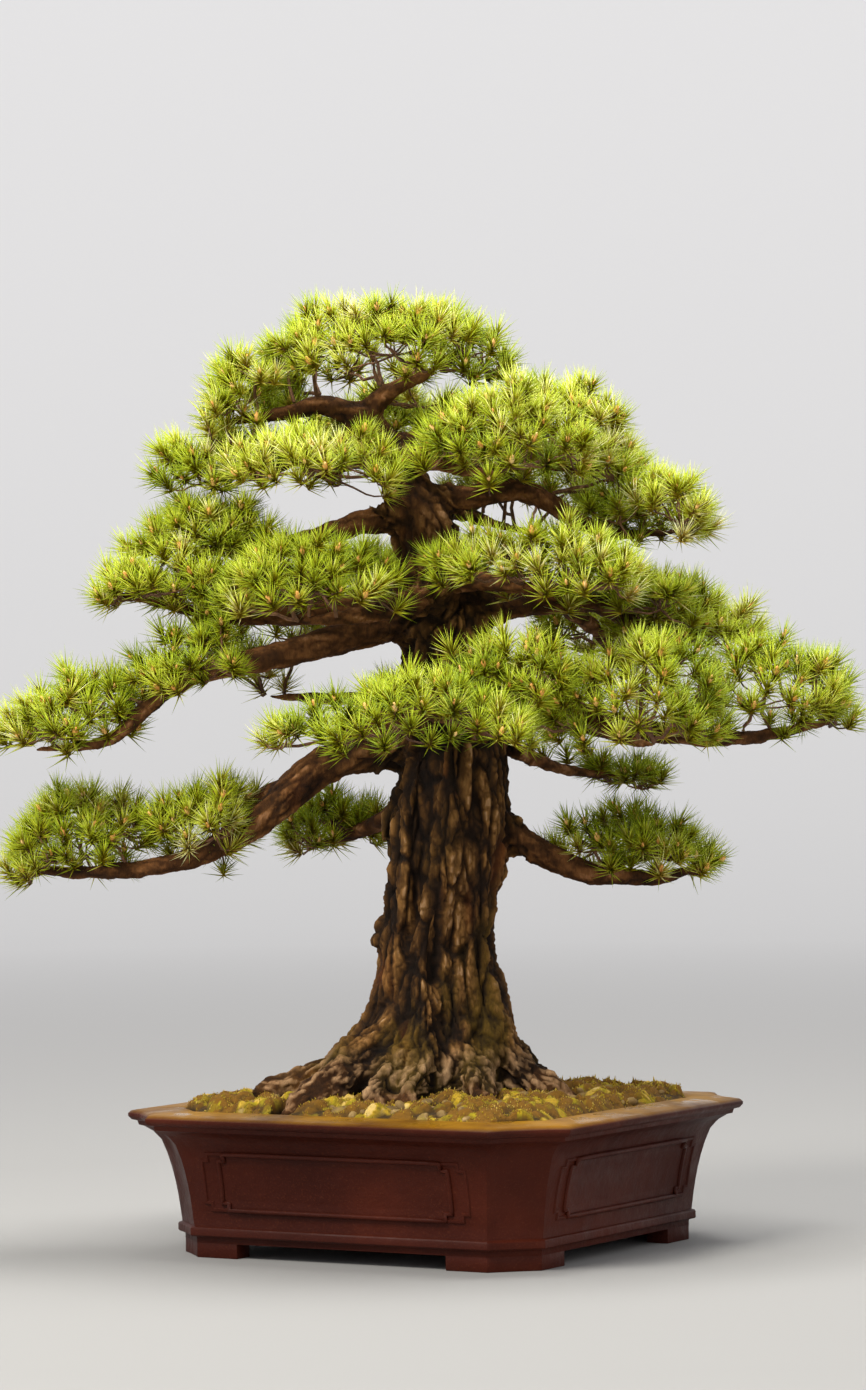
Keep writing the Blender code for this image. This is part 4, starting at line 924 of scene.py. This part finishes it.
def scattered(node, chance):
    """Places on a pad's surface that keep their distance, with the outward direction at each."""
    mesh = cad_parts[node].data
    mesh.calc_loop_triangles()
    corners = np.array([[mesh.vertices[v].co for v in face.vertices] for face in mesh.loop_triangles])
    across = np.cross(corners[:, 1] - corners[:, 0], corners[:, 2] - corners[:, 0])
    areas = np.linalg.norm(across, axis=1) / 2
    many = int(areas.sum() / TUFT_SPACING ** 2 * 9)
    face = chance.choice(len(areas), many, p=areas / areas.sum())
    first, second = np.sqrt(chance.random(many)), chance.random(many)
    weights = np.column_stack([1 - first, first * (1 - second), first * second])
    spots = np.einsum("nk,nkj->nj", weights, corners[face])
    outward = across[face] / (2 * areas[face][:, None] + 1e-12)
    kept = []
    for index in range(many):
        away = ((spots[kept] - spots[index]) ** 2).sum(axis=1)
        if not kept or away.min() > TUFT_SPACING ** 2:
            kept.append(index)
    return spots[kept], outward[kept]


def in_open_air(spots):
    """Which points lie in one of the places that a grower keeps open."""
    frame_of = np.column_stack([spots @ np.array(RIGHT), spots @ np.array(AWAY), spots[:, 2]])
    inside = np.zeros(len(spots), bool)
    for row in OPEN_AIR:
        middle, half = np.array(row[:3]), np.array(row[3:]) + CLEARED
        inside |= (((frame_of - middle) / half) ** 2).sum(axis=1) < 1.0
    return inside


def pinched_off(foot):
    """Whether a tuft would hide a thick bough, or hang under its wood."""
    spot, index, distance = coarse_tree.find(Vector(foot))
    return (distance < BARE and girth[index] > BARE_GIRTH) or spot.z - foot[2] > HUNG


def tuft_places(node, chance):
    """The foot of each tuft in a pad, and the way that its shoot points."""
    spots, outward = scattered(node, chance)
    low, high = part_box(node)
    middle = np.array((low + high) / 2)
    sideways = spots - middle
    sideways[:, 2] = 0.0
    sideways /= np.linalg.norm(sideways, axis=1, keepdims=True) + 1e-9
    under = np.clip(-outward[:, 2:3], 0.0, 1.0)
    ways = outward * (0.65 - 0.5 * under) + sideways * (0.25 + 0.5 * under) + (0.0, 0.0, 0.65)
    ways += chance.normal(0.0, 0.22, ways.shape)
    ways /= np.linalg.norm(ways, axis=1, keepdims=True)
    dent = np.array([0.2 + 1.3 * noise.noise(Vector(p) / CLUMP) + 0.8 * noise.noise(Vector(p) / SPRAY)
                     for p in spots]).clip(-0.5, 1.1)
    feet = spots - ways * (ROOT_DEPTH + CLUMP_DENT * dent)[:, None]
    thinned = (outward[:, 2] < -0.12) & (chance.random(len(feet)) > UNDER_SHARE)
    keep = ~thinned & ~in_open_air(feet + ways * NEEDLE_LENGTH / 2)
    keep &= ~np.array([pinched_off(foot) for foot in feet])
    return feet[keep], ways[keep]


tufts = {}
for number, node in enumerate(PADS):
    tufts[node] = tuft_places(node, np.random.default_rng(100 + number))
print("tufts:", sum(len(feet) for feet, _ in tufts.values()))

# %% [markdown]
# Short shoots also grow straight from the thin outer half of every bough, between one pad and the
# next.  They keep the pads from looking like separate balls.

# %% Tufts along the boughs
SHOOT_GIRTH = 9.5 * MM
SHOOT_SPACING = 20 * MM
LOWEST_SHOOT = 0.34
BOUGH_TUFTS = "along_boughs"

chance = np.random.default_rng(31)
feet, ways = [], []
for index in chance.permutation(len(coarse)):
    spot, out = coarse[index], coarse_out[index]
    thin = 2.5 * MM < girth[index] < SHOOT_GIRTH
    if not thin or spot[2] < LOWEST_SHOOT or out[2] < 0.0:
        continue
    if any(((spot - p) ** 2).sum() < SHOOT_SPACING ** 2 for p in feet) or in_open_air(spot[None])[0]:
        continue
    way = out * 0.7 + (0.0, 0.0, 0.75) + chance.normal(0.0, 0.2, 3)
    feet.append(spot)
    ways.append(way / np.linalg.norm(way))
tufts[BOUGH_TUFTS] = (np.array(feet), np.array(ways))
print("tufts along the boughs:", len(feet))

# %% [markdown]
# ## One needle, one tuft
#
# A needle is a cone with three sides and a closed foot: four faces in all, which matters when there
# are two hundred thousand of them.  A tuft is a few dozen needles round the last centimetre of a
# shoot: the lowest stand straight out, the highest point nearly ahead.  Eight different tufts are
# enough, since each copy is rolled by a different angle.

# %% Needle and tufts
NEEDLE_HALF = 0.85 * MM
NEEDLES = 46
TUFT_KINDS = 8
LIFT = 0.22               # how much the needles turn up to the light

bpy.ops.object.select_all(action="DESELECT")
bpy.ops.mesh.primitive_cone_add(vertices=3, radius1=NEEDLE_HALF, radius2=0.0, depth=NEEDLE_LENGTH,
                                location=(0.0, 0.0, NEEDLE_LENGTH / 2))
bpy.ops.object.transform_apply(location=True, rotation=True, scale=True)
needle, needle_faces = read_model(bpy.context.object)


def tuft_kind(chance):
    """The points of one tuft, growing along +Z from its foot."""
    along = np.sort(chance.random(NEEDLES))
    open_angle = np.radians(80.0 - 62.0 * along + chance.normal(0.0, 9.0, NEEDLES))
    turn = np.arange(NEEDLES) * 2.39996 + chance.normal(0.0, 0.25, NEEDLES)
    ways = np.column_stack([np.sin(open_angle) * np.cos(turn), np.sin(open_angle) * np.sin(turn),
                            np.cos(open_angle)])
    feet = np.column_stack([np.zeros((NEEDLES, 2)), along * SHOOT_LENGTH])
    sizes = chance.uniform(0.82, 1.10, NEEDLES)
    return copies(needle, ways, chance.uniform(0, 6.3, NEEDLES), sizes, feet).reshape(-1, 3)


chance = np.random.default_rng(5)
kinds = np.array([tuft_kind(chance) for _ in range(TUFT_KINDS)])
tuft_faces = np.concatenate([needle_faces + index * len(needle) for index in range(NEEDLES)])
print("faces in a tuft:", len(tuft_faces))

# %% [markdown]
# ## The finish of the needles
#
# A needle is yellow-green at its tip and darker at its foot, and no two tufts have quite the same
# green.  The palest greens, near white, are a painted highlight on needles that catch the light.
# Both are kept in the UV map: its first number is the tone of the tuft and needle, with the painted
# highlight at its top end, and its second runs from foot to tip.  The finish reads nothing else, so
# the colour follows each needle wherever it goes.

# %% Needle finish
needle_green, tree, shader = new_finish("needles", 0.48)
map_of = add_node(tree, "UVMap", {"uv_map": "OFBake"}).outputs["UV"]
axes = add_node(tree, "SeparateXYZ", Vector=map_of).outputs
# The palest end of the tip ramp is a painted highlight: whitish-green needles that catch the light.
tip = ramp(tree, axes["X"], (0.0, tint(98, 120, 8)), (0.30, tint(142, 164, 12)), (0.55, tint(176, 192, 26)),
           (0.78, tint(196, 204, 78)), (1.0, tint(230, 230, 172)))
foot = ramp(tree, axes["X"], (0.0, tint(92, 86, 4)), (0.5, tint(150, 130, 6)), (1.0, tint(208, 172, 48)))
tree.links.new(mixed(tree, remap(tree, axes["Y"], 0.05, 0.60), foot, tip), shader.inputs["Base Color"])
shader.inputs["Specular IOR Level"].default_value = 0.25

# %% Pads of needles
TONE_WAVE = 90 * MM
UV_HALF = 0.006           # a needle's own width in the map


def needle_map(feet, chance):
    """A UV for every point: the tone of its tuft and needle, whose palest end is a painted highlight, and its place
    along the needle.
    """
    wave = np.array([0.5 + 0.35 * noise.noise(Vector(p) / TONE_WAVE) for p in feet])
    tuft_tone = wave + chance.normal(0.0, 0.11, len(feet))
    tone_and_highlight = tuft_tone[:, None] + chance.normal(0.0, 0.14, (len(feet), NEEDLES))
    tone_and_highlight = np.clip(tone_and_highlight, 0.02, 0.98)[:, :, None]
    is_tip = needle[:, 2] > NEEDLE_LENGTH / 2
    spread = np.where(is_tip, 0.0, np.linspace(-1.0, 1.0, len(needle)) * UV_HALF)
    u = tone_and_highlight + spread
    v = np.broadcast_to(np.where(is_tip, 0.99, 0.01), u.shape)
    return np.stack([u, v], axis=-1).reshape(-1, 2)


for number, (node, (feet, ways)) in enumerate(tufts.items()):
    chance = np.random.default_rng(500 + number)
    many = len(feet)
    model = kinds[chance.integers(0, TUFT_KINDS, many)]
    grown = copies(model, ways, chance.uniform(0, 6.3, many), chance.uniform(0.88, 1.08, many), feet)
    reach = np.linalg.norm(grown - feet[:, None, :], axis=2, keepdims=True)
    grown += reach * (0.0, 0.0, LIFT) * (1.0 - ways[:, None, 2:3]).clip(0.15, 1.0)
    pad = write_mesh("needles_" + node.removeprefix("foliage_"), grown, tuft_faces, needle_map(feet, chance))
    stands_for = [node] if node in PADS else []
    finish_piece(pad, needle_green, "needles", *stands_for)

# %% [markdown]
# ## Buds
#
# At the end of many shoots stands a bud, a small pale orange candle.  It starts as a low-sided sphere,
# is drawn out, and its upper half is narrowed in edit mode.

# %% Buds
BUD_HALF = 2.3 * MM
BUD_STRETCH = 1.9
BUD_SHARE = 0.6

bpy.ops.object.select_all(action="DESELECT")
bpy.ops.mesh.primitive_uv_sphere_add(segments=6, ring_count=4, radius=BUD_HALF)
candle = bpy.context.object
bpy.ops.object.mode_set(mode="EDIT")
bpy.ops.transform.resize(value=(1.0, 1.0, BUD_STRETCH))
bpy.ops.mesh.select_all(action="DESELECT")
bpy.ops.object.mode_set(mode="OBJECT")
for vert in candle.data.vertices:
    vert.select = vert.co.z > 0.5 * BUD_HALF
bpy.ops.object.mode_set(mode="EDIT")
bpy.ops.transform.resize(value=(0.7, 0.7, 1.0))
bpy.ops.object.mode_set(mode="OBJECT")
bud, bud_faces = read_model(candle)

chance = np.random.default_rng(77)
all_feet = np.concatenate([feet for feet, _ in tufts.values()])
all_ways = np.concatenate([ways for _, ways in tufts.values()])
with_bud = (chance.random(len(all_feet)) < BUD_SHARE) & (all_ways[:, 2] > 0.1)
feet, ways = all_feet[with_bud], all_ways[with_bud]
rise = (SHOOT_LENGTH + BUD_HALF * BUD_STRETCH * 0.7)
buds = write_mesh("buds", copies(bud, ways + (0.0, 0.0, 0.3), chance.uniform(0, 6.3, len(feet)),
                                 chance.uniform(0.7, 1.35, len(feet)), feet + ways * rise), bud_faces)
smooth_all(buds)
bud_finish, tree, shader = new_finish("buds", 0.6)
hue = noise_value(tree, object_place(tree), 60.0, 2.0)
tree.links.new(ramp(tree, hue, (0.3, tint(206, 140, 62)), (0.5, tint(240, 178, 92)), (0.7, tint(250, 214, 146))),
               shader.inputs["Base Color"])
finish_piece(buds, bud_finish, "needles")

# %% [markdown]
# ## Twigs
#
# Under the needles a bough divides again and again.  The tufts of a pad are gathered into groups of
# near neighbours.  Each group gets a twig from wood beside or under it, because twigs grow up and
# outwards and don't hang, and from the group's middle a thin shoot runs to every tuft.  A twig is a
# tube round a bent line, closed at both ends.

# %% Twigs
GROUP = 9                 # tufts to a twig
TWIG_SIDES = 5
TWIG_STEPS = 5
TWIG_THICK = 2.1 * MM
SHOOT_THICK = 1.15 * MM
TWIG_MOST = 85 * MM       # no twig is longer
STEEP_COST = 1.5          # how much a rise counts against level distance
HANGING_COST = 5.0        # and how much a drop from wood above


def tube_model():
    """A closed tube's faces: rings of TWIG_SIDES points, and a point at each end."""
    faces = []
    for ring in range(TWIG_STEPS):
        for k in range(TWIG_SIDES):
            a, b = ring * TWIG_SIDES + k, ring * TWIG_SIDES + (k + 1) % TWIG_SIDES
            faces += [(a, b, b + TWIG_SIDES), (a, b + TWIG_SIDES, a + TWIG_SIDES)]
    first, last = (TWIG_STEPS + 1) * TWIG_SIDES, (TWIG_STEPS + 1) * TWIG_SIDES + 1
    for k in range(TWIG_SIDES):
        m = (k + 1) % TWIG_SIDES
        faces += [(m, k, first), (TWIG_STEPS * TWIG_SIDES + k, TWIG_STEPS * TWIG_SIDES + m, last)]
    return np.array(faces)


def tubes(starts, bends, ends, thick, thin, chance):
    """The points of many tubes, each along a bent line from start to end."""
    rows = []
    share = np.linspace(0.0, 1.0, TWIG_STEPS + 1)[None, :, None]
    line = starts[:, None] * (1 - share) ** 2 + bends[:, None] * 2 * share * (1 - share) + ends[:, None] * share ** 2
    knots = chance.normal(0.0, 1.0, line.shape) * 0.035 * np.linalg.norm(ends - starts, axis=1)[:, None, None]
    line[:, 1:-1] += knots[:, 1:-1]
    ahead = np.gradient(line, axis=1)
    turned = turned_to(ahead.reshape(-1, 3), np.zeros(line.shape[0] * line.shape[1])).reshape(*line.shape[:2], 3, 3)
    for k in range(TWIG_SIDES):
        angle = 2 * math.pi * k / TWIG_SIDES
        out = turned[..., 0] * math.cos(angle) + turned[..., 1] * math.sin(angle)
        rows.append(line + out * (thick * (1 - share) + thin * share))
    rings = np.stack(rows, axis=2).reshape(len(starts), -1, 3)
    return np.concatenate([rings, line[:, :1], line[:, -1:]], axis=1)


def wood_for(middles):
    """The wood that carries each group: near it, and rather beside or under it than above."""
    gap = coarse[None] - middles[:, None]
    rise = gap[:, :, 2]
    cost = np.hypot(gap[:, :, 0], gap[:, :, 1]) + np.abs(rise) * np.where(rise > 0, HANGING_COST, STEEP_COST)
    best = cost.argmin(axis=1)
    return coarse[best] - coarse_out[best] * MM


def groups_of(feet, chance):
    """Gathers the tufts round a few middles, which settle after some rounds."""
    count = max(1, round(len(feet) / GROUP))
    middles = feet[chance.choice(len(feet), count, replace=False)]
    for _ in range(6):
        owner = ((feet[:, None] - middles[None]) ** 2).sum(axis=2).argmin(axis=1)
        middles = np.array([feet[owner == k].mean(axis=0) if (owner == k).any() else middles[k]
                            for k in range(count)])
    return middles, owner


lines = []
for number, node in enumerate(PADS):
    feet, ways = tufts[node]
    chance = np.random.default_rng(900 + number)
    middles, owner = groups_of(feet, chance)
    middles = middles - (0.0, 0.0, 6 * MM)
    roots = wood_for(middles)
    near = (np.linalg.norm(roots - middles, axis=1) < TWIG_MOST) & (roots[:, 2] < middles[:, 2] + 8 * MM)
    bend = 0.6 * roots + 0.4 * middles
    bend[:, 2] = 0.35 * roots[:, 2] + 0.65 * middles[:, 2]
    if near.any():
        lines.append(tubes(roots[near], bend[near], middles[near], TWIG_THICK, 0.7 * TWIG_THICK, chance))
    tops = feet + ways * SHOOT_LENGTH
    starts = middles[owner]
    lines.append(tubes(starts, feet - ways * 6 * MM, tops, SHOOT_THICK, 0.6 * SHOOT_THICK, chance))
twigs = write_mesh("twigs", np.concatenate(lines), tube_model())
smooth_all(twigs, 60.0)

twig_finish, tree, shader = new_finish("twigs", 0.8)
place = object_place(tree)
rings_of = noise_value(tree, place, 260.0, 3.0)
shade = noise_value(tree, place, 30.0, 3.0)
shoot = ramp(tree, shade, (0.35, tint(96, 62, 40)), (0.55, tint(142, 98, 66)), (0.72, tint(186, 140, 104)))
tree.links.new(mixed(tree, remap(tree, rings_of, 0.45, 0.7, 0.6, 0.0), shoot, tint(52, 33, 22)),
               shader.inputs["Base Color"])
bumped(tree, shader, (rings_of, 0.0006))
finish_piece(twigs, twig_finish, "bark")
